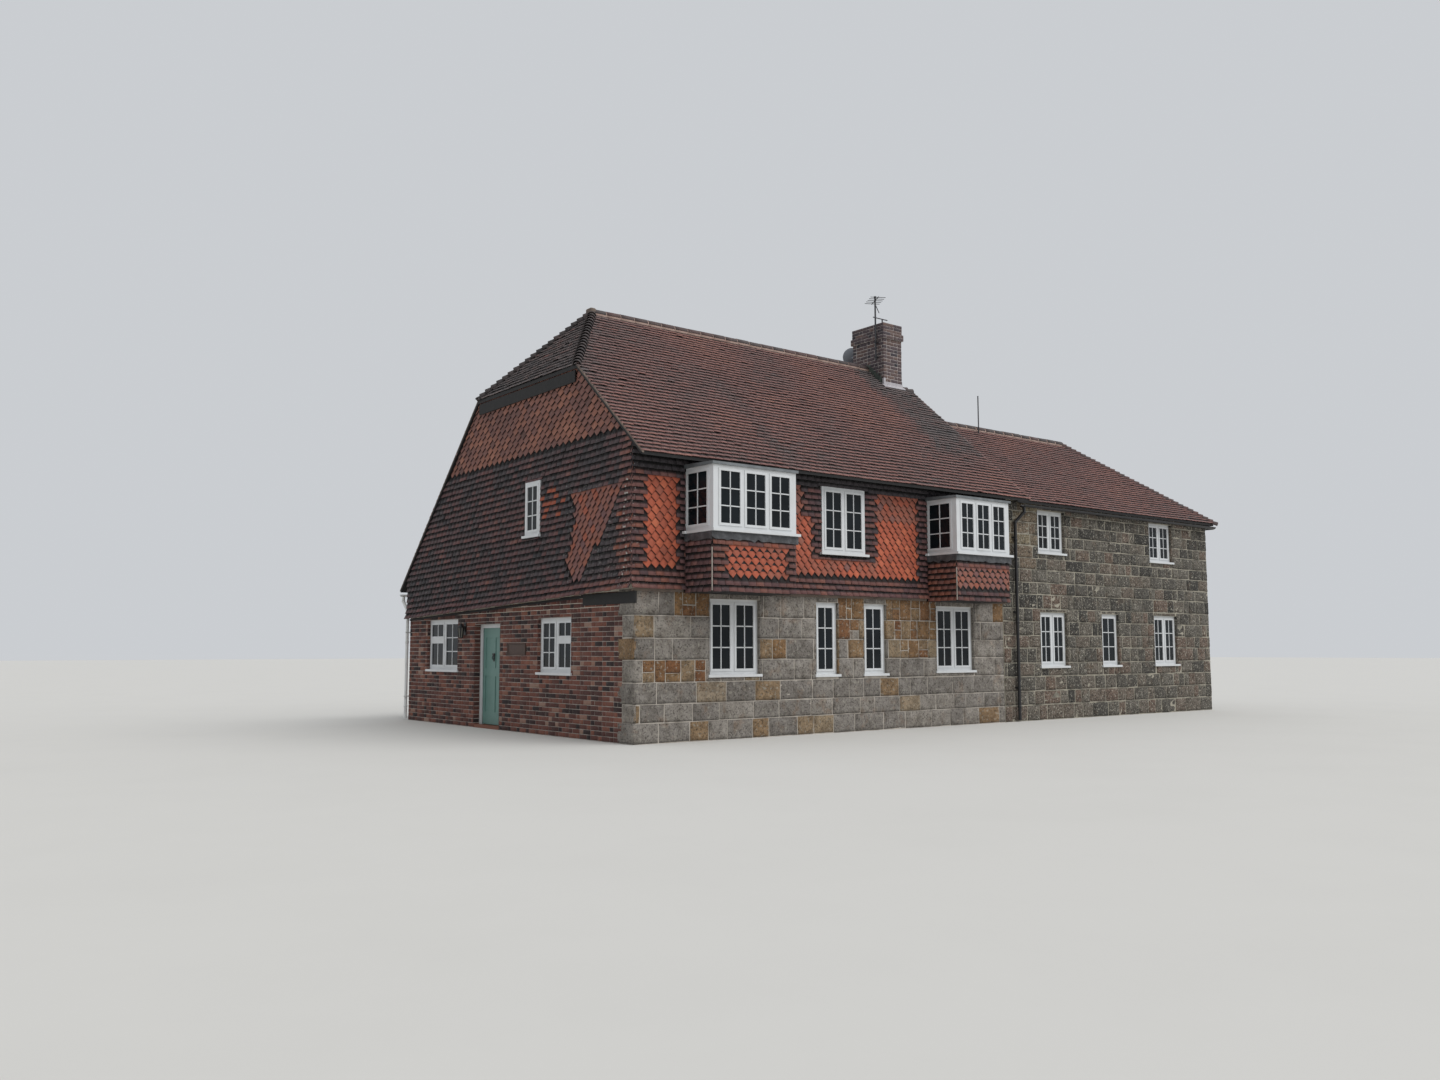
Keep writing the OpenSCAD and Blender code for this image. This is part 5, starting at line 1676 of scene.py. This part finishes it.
def build_door_furniture(iron):
    """A ring knocker on its plate and a turned knob by the free edge."""
    face = BRICK_SET + DOOR_SET
    middle = DOOR_Y - DOOR_W / 2
    knob_y, knob_z = DOOR_Y - DOOR_W + 0.13, 1.02
    parts = [
        block("plate", (face - 0.006, middle - 0.03, 1.3), (face + 0.002, middle + 0.03, 1.45)),
        block("head", (face - 0.02, middle - 0.045, 1.42), (face + 0.002, middle + 0.045, 1.46)),
        ring("knocker", (face - 0.02, middle, 1.375), 0.038, 0.007, (0, math.pi / 2, 0)),
        disc("rose", (face - 0.003, knob_y, knob_z), 0.028, 0.01, (1, 0, 0)),
        rod("spindle", (face - 0.05, knob_y, knob_z), (face, knob_y, knob_z), 0.01),
        disc("knob", (face - 0.058, knob_y, knob_z), 0.026, 0.03, (1, 0, 0)),
    ]
    for part in parts[:2]:
        bevel(part, 0.003, 2)
    furniture = join("door_furniture", parts)
    put(furniture, "door", "black_iron", iron)


def build_lantern(iron, pane):
    """Six panes with their bars, a scroll and a finial, round the lantern's iron body."""
    x, y = BRICK_SET - 0.105, 6.2
    foot, eaves = 1.78, 1.98
    foot_r, eaves_r = 0.05, 0.074
    parts = [
        disc("back", (BRICK_SET - 0.022, y, 1.95), 0.062, 0.012, (1, 0, 0)),
        ring("scroll", (BRICK_SET - 0.062, y, 1.99), 0.034, 0.006, (math.pi / 2, 0, 0)),
        disc("foot", (x, y, foot - 0.006), foot_r, 0.014, (0, 0, 1)),
        disc("eaves", (x, y, eaves), eaves_r + 0.006, 0.012, (0, 0, 1)),
        rod("finial", (x, y, 2.05), (x, y, 2.09), 0.009),
    ]
    for k in range(6):
        turn = math.radians(60 * k)
        low = (x + foot_r * math.cos(turn), y + foot_r * math.sin(turn), foot)
        high = (x + eaves_r * math.cos(turn), y + eaves_r * math.sin(turn), eaves)
        parts.append(rod("bar", low, high, 0.005, 6))
    put(join("lantern_ironwork", parts), "house", "black_iron", iron)
    bpy.ops.object.select_all(action="DESELECT")
    bpy.ops.mesh.primitive_cone_add(vertices=6, radius1=foot_r - 0.0005, radius2=eaves_r - 0.0005,
                                    depth=0.196, location=(x, y, (foot + eaves) / 2))
    panes = bpy.context.object
    panes.name = "lantern_panes"
    bpy.ops.object.transform_apply(location=True, rotation=True, scale=True)
    put(panes, "house", "window_glass", pane)


def build_board_frame(wood):
    """A moulding round the bare name board."""
    front, back = BRICK_SET - 0.03, BRICK_SET - 0.016
    left, right, low, high = 3.64, 4.35, 1.43, 1.65
    wide = 0.022
    corners = [
        ((front, left, low), (back, right, low + wide)),
        ((front, left, high - wide), (back, right, high)),
        ((front, left, low), (back, left + wide, high)),
        ((front, right - wide, low), (back, right, high)),
    ]
    put(boxes("board_moulding", corners, 0.004), "house", "tarred_wood", wood)


def build_pipe_collars(iron, plastic):
    """Sockets where the lengths of the downpipes meet."""
    for name, x, y, heights, length, slot, material in (
        ("black_pipe_collars", MAIN_LEN - 0.015, WING_Y0 - 0.075, (0.32, 2.1, 3.86), 0.07,
         "black_iron", iron),
        ("white_pipe_collars", 0.06, MAIN_DEPTH + 0.06, (0.3, 1.7), 0.06,
         "white_plastic", plastic),
    ):
        collars = [disc("collar", (x, y, z), 0.043, length, (0, 0, 1)) for z in heights]
        put(join(name, collars), "house", slot, material)


# Finishes
def paint(code):
    """A linear colour from its written form."""
    parts = [int(code[i:i + 2], 16) / 255 for i in (1, 3, 5)]
    return tuple(p / 12.92 if p <= 0.04045 else ((p + 0.055) / 1.055) ** 2.4 for p in parts) + (1,)


def socketed(name, inputs, outputs):
    """An empty node group with named sockets."""
    group = bpy.data.node_groups.new(name, "ShaderNodeTree")
    for kind, socket, value in inputs:
        made = group.interface.new_socket(name=socket, in_out="INPUT", socket_type=kind)
        if value is not None:
            made.default_value = value
    for kind, socket in outputs:
        group.interface.new_socket(name=socket, in_out="OUTPUT", socket_type=kind)
    return group, group.nodes.new("NodeGroupInput"), group.nodes.new("NodeGroupOutput")


def node(tree, kind, **settings):
    """A new node. Settings whose names start with in_ are values of its inputs."""
    made = tree.nodes.new(kind)
    for key, value in settings.items():
        if key.startswith("in_"):
            made.inputs[key[3:].replace("_", " ")].default_value = value
        else:
            setattr(made, key, value)
    return made


def fill(tree, socket, value):
    """Sets a socket to a number or a written colour, or links it."""
    if isinstance(value, str):
        socket.default_value = paint(value)
    elif isinstance(value, (int, float)):
        socket.default_value = value
    else:
        tree.links.new(value, socket)


def math_node(tree, operation, *values, clamp=False):
    """A sum of numbers or links."""
    made = node(tree, "ShaderNodeMath", operation=operation, use_clamp=clamp)
    for socket, value in zip(made.inputs, values):
        fill(tree, socket, value)
    return made.outputs[0]


def ramp(tree, source, stops):
    """A colour ramp whose stops are written colours or greys."""
    made = node(tree, "ShaderNodeValToRGB")
    elements = made.color_ramp.elements
    while len(elements) < len(stops):
        elements.new(0.5)
    for element, (place, colour) in zip(elements, stops):
        element.position = place
        element.color = paint(colour) if isinstance(colour, str) else (colour, colour, colour, 1)
    tree.links.new(source, made.inputs["Fac"])
    return made.outputs["Color"]


def mix(tree, kind, factor, a, b):
    """A colour mix whose factor and colours are numbers, written colours or links."""
    made = node(tree, "ShaderNodeMix", data_type="RGBA", blend_type=kind)
    # A colour mix has its factor and colours at these inputs, and its result at output 2
    for place, value in ((0, factor), (6, a), (7, b)):
        fill(tree, made.inputs[place], value)
    return made.outputs[2]


def masked(tree, kind, group, share, under, over):
    """Mixes one colour over another where a patches group shows, up to a share."""
    mask = math_node(tree, "MULTIPLY", group.outputs["Mask"], share)
    return mix(tree, kind, mask, under, over)


def cloud_group():
    """Noise at one size, sharpened between two levels, from object coordinates."""
    group, source, sink = socketed(
        "patches",
        (("NodeSocketFloat", "Scale", 5.0), ("NodeSocketFloat", "From", 0.4),
         ("NodeSocketFloat", "To", 0.6), ("NodeSocketFloat", "Detail", 6.0)),
        (("NodeSocketFloat", "Mask"),))
    place = node(group, "ShaderNodeTexCoord")
    cloud = node(group, "ShaderNodeTexNoise", in_Roughness=0.62)
    group.links.new(place.outputs["Object"], cloud.inputs["Vector"])
    group.links.new(source.outputs["Scale"], cloud.inputs["Scale"])
    group.links.new(source.outputs["Detail"], cloud.inputs["Detail"])
    level = node(group, "ShaderNodeMapRange")
    group.links.new(cloud.outputs["Fac"], level.inputs["Value"])
    group.links.new(source.outputs["From"], level.inputs["From Min"])
    group.links.new(source.outputs["To"], level.inputs["From Max"])
    group.links.new(level.outputs["Result"], sink.inputs["Mask"])
    return group


def tone_group():
    """The tone that each laid tile, brick or stone carries."""
    group, _, sink = socketed("piece_tone", (), (
        ("NodeSocketFloat", "Tone"), ("NodeSocketFloat", "Chance"), ("NodeSocketFloat", "Tail"),
        ("NodeSocketFloat", "Age")))
    carried = node(group, "ShaderNodeAttribute", attribute_name="tone")
    split = node(group, "ShaderNodeSeparateColor")
    group.links.new(carried.outputs["Color"], split.inputs["Color"])
    for place, name in enumerate(("Tone", "Chance", "Tail")):
        group.links.new(split.outputs[place], sink.inputs[name])
    group.links.new(carried.outputs["Alpha"], sink.inputs["Age"])
    return group


def grain_group():
    """Height of a rough surface: coarse hollows and fine grit."""
    group, source, sink = socketed(
        "grit",
        (("NodeSocketFloat", "Coarse Scale", 20.0), ("NodeSocketFloat", "Fine Scale", 220.0),
         ("NodeSocketFloat", "Fine Share", 0.3)),
        (("NodeSocketFloat", "Height"),))
    place = node(group, "ShaderNodeTexCoord")
    heights = []
    for name in ("Coarse Scale", "Fine Scale"):
        cloud = node(group, "ShaderNodeTexNoise", in_Detail=5.0, in_Roughness=0.6)
        group.links.new(place.outputs["Object"], cloud.inputs["Vector"])
        group.links.new(source.outputs[name], cloud.inputs["Scale"])
        heights.append(cloud.outputs["Fac"])
    fine = math_node(group, "MULTIPLY", heights[1], source.outputs["Fine Share"])
    group.links.new(math_node(group, "ADD", heights[0], fine), sink.inputs["Height"])
    return group


PATCHES = cloud_group()
TONE = tone_group()
GRIT = grain_group()


def group_node(tree, group, **values):
    """A shared group placed in a material with its own values."""
    made = tree.nodes.new("ShaderNodeGroup")
    made.node_tree = group
    for key, value in values.items():
        made.inputs[key.replace("_", " ")].default_value = value
    return made


def finish(name, roughness, **sockets):
    """A new material with its shader, and plain values on the shader's own sockets."""
    material = bpy.data.materials.new(name)
    material.use_nodes = True
    tree = material.node_tree
    shader = tree.nodes["Principled BSDF"]
    shader.inputs["Roughness"].default_value = roughness
    for key, value in sockets.items():
        shader.inputs[key.replace("_", " ")].default_value = value
    return material, tree, shader


def bumped(tree, shader, distance, strength, **values):
    """Gives a shader the relief of grit."""
    grit = group_node(tree, GRIT, **values)
    bump = node(tree, "ShaderNodeBump", in_Distance=distance, in_Strength=strength)
    tree.links.new(grit.outputs["Height"], bump.inputs["Height"])
    tree.links.new(bump.outputs["Normal"], shader.inputs["Normal"])


def clay_finish(name, stops, tail_painted_light, flecks, lichen_colour):
    """Clay tiles: a tone for each, painted shade and highlight from head to tail, soot, small
    flecks and lichen.
    """
    material, tree, shader = finish(name, 0.85)
    carried = group_node(tree, TONE)
    fleck = group_node(tree, PATCHES, Scale=38.0, From=0.3, To=0.75)
    wander = math_node(tree, "MULTIPLY_ADD", fleck.outputs["Mask"], flecks, -flecks / 2)
    tone = math_node(tree, "ADD", carried.outputs["Tone"], wander, clamp=True)
    body = ramp(tree, tone, stops)
    # Painted shadow under the tile above, and at the tail a painted highlight on the roof and
    # painted shade on the walls
    shaded = mix(tree, "MULTIPLY", 1.0, body, ramp(tree, carried.outputs["Tail"], tail_painted_light))
    soot = group_node(tree, PATCHES, Scale=1.9, From=0.5, To=0.72)
    sooty = masked(tree, "MULTIPLY", soot, 0.3, shaded, "#7c7472")
    lichen = group_node(tree, PATCHES, Scale=40.0, From=0.62, To=0.66)
    spots = math_node(tree, "MULTIPLY", lichen.outputs["Mask"], carried.outputs["Age"])
    spots = math_node(tree, "MULTIPLY", spots, 0.5, clamp=True)
    tree.links.new(mix(tree, "MIX", spots, sooty, lichen_colour), shader.inputs["Base Color"])
    bumped(tree, shader, 0.004, 0.6, Coarse_Scale=60.0, Fine_Scale=400.0)
    return material


def stone_finish(name, stops, stain, pits=0.75, spots=0.45, spot_size=17.0, spot_from=0.57):
    """Weathered sandstone: a tone for each stone, stains, dark pits, pale lichen, painted shade at
    its edges.
    """
    material, tree, shader = finish(name, 0.9)
    carried = group_node(tree, TONE)
    body = ramp(tree, carried.outputs["Tone"], stops)
    cloudy = group_node(tree, PATCHES, Scale=5.0, From=0.38, To=0.66)
    toned = masked(tree, "MULTIPLY", cloudy, 0.6, body, "#8c8378")
    rust = group_node(tree, PATCHES, Scale=4.0, From=0.56, To=0.66)
    rusty = masked(tree, "MIX", rust, stain, toned, "#8a6848")
    fleck = group_node(tree, PATCHES, Scale=34.0, From=0.5, To=0.62)
    dark = masked(tree, "MULTIPLY", fleck, pits, rusty, "#554e47")
    pale = group_node(tree, PATCHES, Scale=spot_size, From=spot_from, To=spot_from + 0.06)
    lichened = masked(tree, "MIX", pale, spots, dark, "#b5b0a2")
    # Painted shade along each stone's top edge, and darker along its bottom edge
    edges = ramp(tree, carried.outputs["Tail"], ((0.0, 0.8), (0.08, 1.0), (0.88, 1.0), (1.0, 0.5)))
    tree.links.new(mix(tree, "MULTIPLY", 1.0, lichened, edges), shader.inputs["Base Color"])
    bumped(tree, shader, 0.02, 0.9, Coarse_Scale=22.0, Fine_Scale=120.0)
    return material


def brick_finish(name, stops):
    """Old brick: a tone for each, dark flecks and a pale bloom."""
    material, tree, shader = finish(name, 0.88)
    carried = group_node(tree, TONE)
    body = ramp(tree, carried.outputs["Tone"], stops)
    fleck = group_node(tree, PATCHES, Scale=45.0, From=0.5, To=0.75)
    dark = masked(tree, "MULTIPLY", fleck, 0.5, body, "#5f4c45")
    bloom = group_node(tree, PATCHES, Scale=9.0, From=0.6, To=0.75)
    tree.links.new(masked(tree, "MIX", bloom, 0.3, dark, "#9d8f84"), shader.inputs["Base Color"])
    bumped(tree, shader, 0.005, 0.7, Coarse_Scale=70.0, Fine_Scale=420.0)
    return material


def plain_finish(name, colour, dirt, roughness, scale, share, depth, **sockets):
    """One colour, with another in patches up to a share, and a little grit."""
    material, tree, shader = finish(name, roughness, **sockets)
    patch_mask = group_node(tree, PATCHES, Scale=scale, From=0.45, To=0.75)
    tree.links.new(masked(tree, "MIX", patch_mask, share, colour, dirt), shader.inputs["Base Color"])
    bumped(tree, shader, depth, 0.5, Coarse_Scale=30.0, Fine_Scale=250.0)
    return material


def glass_finish():
    """Panes painted dark as the shade of the room behind them, a little lighter in patches."""
    material, tree, shader = finish("window_glass", 0.04, IOR=1.45, Specular_IOR_Level=0.22)
    patch_mask = group_node(tree, PATCHES, Scale=1.4, From=0.3, To=0.8)
    # Painted shade of the unlit room behind the glass
    tree.links.new(mix(tree, "MIX", patch_mask.outputs["Mask"], "#0d1114", "#1c2327"),
                   shader.inputs["Base Color"])
    return material


# Shade of a tile from its head, painted as a shadow under the tile above, to its tail and its end
# face
# On the roof the tail and end face are pale: partly wear, partly painted highlight
ROOF_TAIL_PAINTED_LIGHT = (
    (0.0, 0.03), (0.48, 0.04), (0.56, 0.2), (0.64, 0.8), (0.76, 1.1), (0.82, 1.65), (1.0, 1.9),
)
# On the walls the end face is dark with painted shade
HUNG_TAIL_PAINTED_SHADE = (
    (0.0, 0.04), (0.42, 0.06), (0.49, 0.3), (0.57, 1.0), (0.8, 1.2), (0.86, 0.14), (1.0, 0.1),
)
CLAY = clay_finish("hung_clay", (
    (0.0, "#373539"), (0.16, "#4d4447"), (0.32, "#66494a"), (0.47, "#7a5550"),
    (0.62, "#8b5849"), (0.76, "#9c5440"), (0.88, "#ae5940"), (0.96, "#ba674a"),
), HUNG_TAIL_PAINTED_SHADE, 0.12, "#c9c6c0")
ROOF_CLAY = clay_finish("roof_clay", (
    (0.0, "#524e4f"), (0.2, "#6a605f"), (0.36, "#785f5c"), (0.52, "#85625d"), (0.72, "#92695f"),
    (0.9, "#9e7565"), (1.0, "#ae8875"),
), ROOF_TAIL_PAINTED_LIGHT, 0.12, "#bdb5ae")
BAND_CLAY = clay_finish("band_clay", (
    (0.0, "#4b3833"), (0.35, "#72504a"), (0.6, "#8b5d4e"), (0.85, "#9d6c5a"), (1.0, "#ac8876"),
), HUNG_TAIL_PAINTED_SHADE, 0.16, "#b3aca2")
MORTAR = plain_finish("pale_mortar", "#b3aba0", "#776f67", 0.92, 5.0, 0.7, 0.003)
DARK_MORTAR = plain_finish("weathered_mortar", "#aaa198", "#6c655e", 0.92, 5.0, 0.8, 0.003)
ASHLAR = stone_finish("front_ashlar", (
    (0.0, "#756f69"), (0.3, "#8f8982"), (0.45, "#9b948b"), (0.6, "#95836a"), (0.8, "#8d6e4b"),
    (1.0, "#7c5132"),
), stain=0.25)
WING_STONE = stone_finish("wing_sandstone", (
    (0.0, "#3b3935"), (0.3, "#5a564f"), (0.5, "#6e6960"), (0.7, "#70655a"), (0.86, "#736155"),
    (1.0, "#8c8168"),
), stain=0.12, pits=0.95, spots=0.65, spot_size=27.0, spot_from=0.565)
WING_MORTAR = plain_finish("wing_mortar", "#a09a8b", "#22211e", 0.95, 2.6, 1.0, 0.004)
VERGE_MORTAR = plain_finish("verge_mortar", "#73665c", "#453e3b", 0.92, 5.0, 0.8, 0.003)
RIDGE_BED = plain_finish("ridge_bedding", "#b59c90", "#86695e", 0.92, 5.0, 0.6, 0.003)
LIME = plain_finish("lime_dabs", "#bdb8b1", "#827c77", 0.92, 9.0, 0.6, 0.002)
STEP_LEAD = plain_finish("stepped_lead", "#3b423f", "#66705f", 0.6, 9.0, 0.5, 0.003)
STACK_MORTAR = plain_finish("chimney_mortar", "#b4aca8", "#857d79", 0.92, 6.0, 0.6, 0.003)
BRICKS = brick_finish("house_brick", (
    (0.0, "#2a2021"), (0.35, "#583731"), (0.6, "#70453a"), (0.85, "#825444"), (1.0, "#947a6c"),
))
CHIMNEY_BRICKS = brick_finish("chimney_brick", (
    (0.0, "#35343a"), (0.3, "#55494c"), (0.5, "#675550"), (0.75, "#705c54"), (1.0, "#876f62"),
))
WHITE = plain_finish("white_paint", "#d2d4d5", "#aaa9a4", 0.35, 3.0, 0.3, 0.0006)
GLASS = glass_finish()
LEAD = plain_finish("weathered_lead", "#6d7173", "#94989a", 0.5, 5.0, 0.6, 0.003, Metallic=0.25)
PALE_LEAD = plain_finish("bleached_lead", "#b3afb2", "#848286", 0.6, 7.0, 0.6, 0.003)
TARRED = plain_finish("tarred_board", "#121111", "#262322", 0.7, 9.0, 0.5, 0.003)
MINT = plain_finish("mint_paint", "#64877f", "#587a72", 0.4, 3.0, 0.5, 0.0005)
BLACK = plain_finish("black_iron", "#1c1c1e", "#35322f", 0.45, 8.0, 0.4, 0.001)
PLASTIC = plain_finish("white_plastic", "#dcdddb", "#a9a79f", 0.4, 4.0, 0.4, 0.0005)
STEEL = plain_finish("aerial_metal", "#3a3a3d", "#57575a", 0.45, 8.0, 0.5, 0.0005, Metallic=0.4)
GREY = plain_finish("dish_grey", "#83888f", "#686c71", 0.5, 6.0, 0.5, 0.0005)
PLAQUE = plain_finish("board_wood", "#4b3830", "#33271f", 0.6, 14.0, 0.7, 0.002)
PANE = plain_finish("lantern_pane", "#7b7a70", "#4b4a44", 0.15, 12.0, 0.6, 0.0003)
DARK_LEAD = plain_finish("dark_lead", "#3f4042", "#85868a", 0.55, 9.0, 0.45, 0.003)
PLASTER = plain_finish("old_plaster", "#cfc8b9", "#a39c8e", 0.9, 3.0, 0.5, 0.003)
BOARDS = plain_finish("floor_boards", "#6d543d", "#4c3a2b", 0.6, 4.0, 0.6, 0.002)
QUARRY = plain_finish("floor_bricks", "#7b4d3b", "#5e3f33", 0.7, 4.0, 0.6, 0.002)

# The frame's own nodes, by the finish that each takes
NODE_FINISHES = (
    (MORTAR, ("main_front_wall",)),
    (DARK_MORTAR, ("gable_wall_front", "gable_wall_rear", "gable_wall_over_door", "main_rear_wall",
                   "dividing_wall")),
    (WING_MORTAR, ("wing_front_wall", "wing_end_wall", "wing_rear_wall")),
    (STACK_MORTAR, ("chimney_stack", "chimney_cap")),
    (PLASTER, ("front_upper_wall", "gable_upper_wall")),
    (CLAY, ("front_tile_hanging", "gable_tile_hanging", "ridge_tiles", "hip_tiles")),
    (TARRED, ("main_front_slope", "main_rear_slope", "left_half_hip", "right_half_hip",
              "wing_front_slope", "wing_rear_slope", "wing_hip_slope", "half_hip_fascia",
              "oriel_aprons")),
    (QUARRY, ("ground_floors",)),
    (BOARDS, ("first_floors",)),
    (WHITE, ("oriel_frames", "main_window_frames", "wing_window_frames", "gable_window_frames",
             "rear_window_frames", "door_frame")),
    (GLASS, ("oriel_glass", "main_window_glass", "wing_window_glass", "gable_and_rear_glass")),
    (LEAD, ("oriel_roofs",)),
    (PALE_LEAD, ("chimney_flashing",)),
    (MINT, ("front_door",)),
    (BLACK, ("wing_gutters", "black_downpipe", "wall_lantern")),
    (PLASTIC, ("rear_gutter", "white_downpipe")),
    (STEEL, ("roof_aerials",)),
    (GREY, ("satellite_dish",)),
    (PLAQUE, ("name_board",)),
)


def dress_nodes():
    """Gives each node of the frame its finish."""
    for material, names in NODE_FINISHES:
        for name in names:
            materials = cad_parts[name].data.materials
            materials.clear()
            materials.append(material)


# Camera, light and floor: the camera's place in the frame's axes in metres, its yaw off the Y
# axis, pitch and roll in degrees, and its lens in millimetres
CAMERA_AT = (-19.326, -19.893, 1.515)
CAMERA_YAW = 38.03
CAMERA_PITCH = 5.415
CAMERA_ROLL = -0.083
CAMERA_LENS = 29.06


def build_camera():
    """The photograph's own camera."""
    data = bpy.data.cameras.new("camera")
    data.sensor_width = 36
    data.lens = CAMERA_LENS
    data.clip_end = 400
    camera = bpy.data.objects.new("camera", data)
    camera.matrix_world = (
        Matrix.Translation(CAMERA_AT) @ Matrix.Rotation(math.radians(-CAMERA_YAW), 4, "Z")
        @ Matrix.Rotation(math.radians(90 + CAMERA_PITCH), 4, "X")
        @ Matrix.Rotation(math.radians(CAMERA_ROLL), 4, "Z"))
    bpy.context.scene.collection.objects.link(camera)
    bpy.context.scene.camera = camera


def build_studio():
    """A pale sky, one soft lamp and a pale floor."""
    scene = bpy.context.scene
    world = bpy.data.worlds.new("studio")
    scene.world = world
    world.use_nodes = True
    sky = world.node_tree.nodes["Background"]
    sky.inputs["Color"].default_value = (0.87, 0.9, 0.94, 1)
    sky.inputs["Strength"].default_value = 0.68
    sun = bpy.data.lights.new("soft_key", "SUN")
    sun.energy = 1.9
    sun.angle = math.radians(60)
    lamp = bpy.data.objects.new("soft_key", sun)
    lamp.rotation_euler = (math.radians(38), 0, math.radians(26))
    scene.collection.objects.link(lamp)
    scene.view_settings.view_transform = "Standard"
    bpy.ops.object.select_all(action="DESELECT")
    bpy.ops.mesh.primitive_plane_add(size=400)
    floor = bpy.context.object
    floor.name = "studio_floor"
    pale = plain_finish("studio_floor", "#c9c7c2", "#c2c0bb", 0.9, 0.5, 0.3, 0.0005)
    floor.data.materials.append(pale)


build_camera()
build_studio()
dress_nodes()
build_main_roof(ROOF_CLAY)
build_half_hips(ROOF_CLAY)
build_wing_roof(ROOF_CLAY)
build_front_hanging(CLAY)
build_gable_hanging(CLAY, BAND_CLAY)
build_skirt_boards(TARRED, VERGE_MORTAR)
build_apron_tiles(CLAY)
build_gable_bricks(BRICKS)
build_rear_jambs(BRICKS)
build_rear_bricks(BRICKS)
build_side_bricks(BRICKS)
build_chimney_bricks(CHIMNEY_BRICKS)
build_flashing(PALE_LEAD, STEP_LEAD)
build_front_stones(ASHLAR)
build_wing_stones(WING_STONE)
build_ridges(ROOF_CLAY, RIDGE_BED)
build_hips(ROOF_CLAY)
build_verges(VERGE_MORTAR)
build_glazing_bars(WHITE)
build_oriel_trim(DARK_LEAD, DARK_MORTAR)
build_corner_dabs(LIME)
build_door_furniture(BLACK)
build_lantern(BLACK, PANE)
build_board_frame(PLAQUE)
build_pipe_collars(BLACK, PLASTIC)
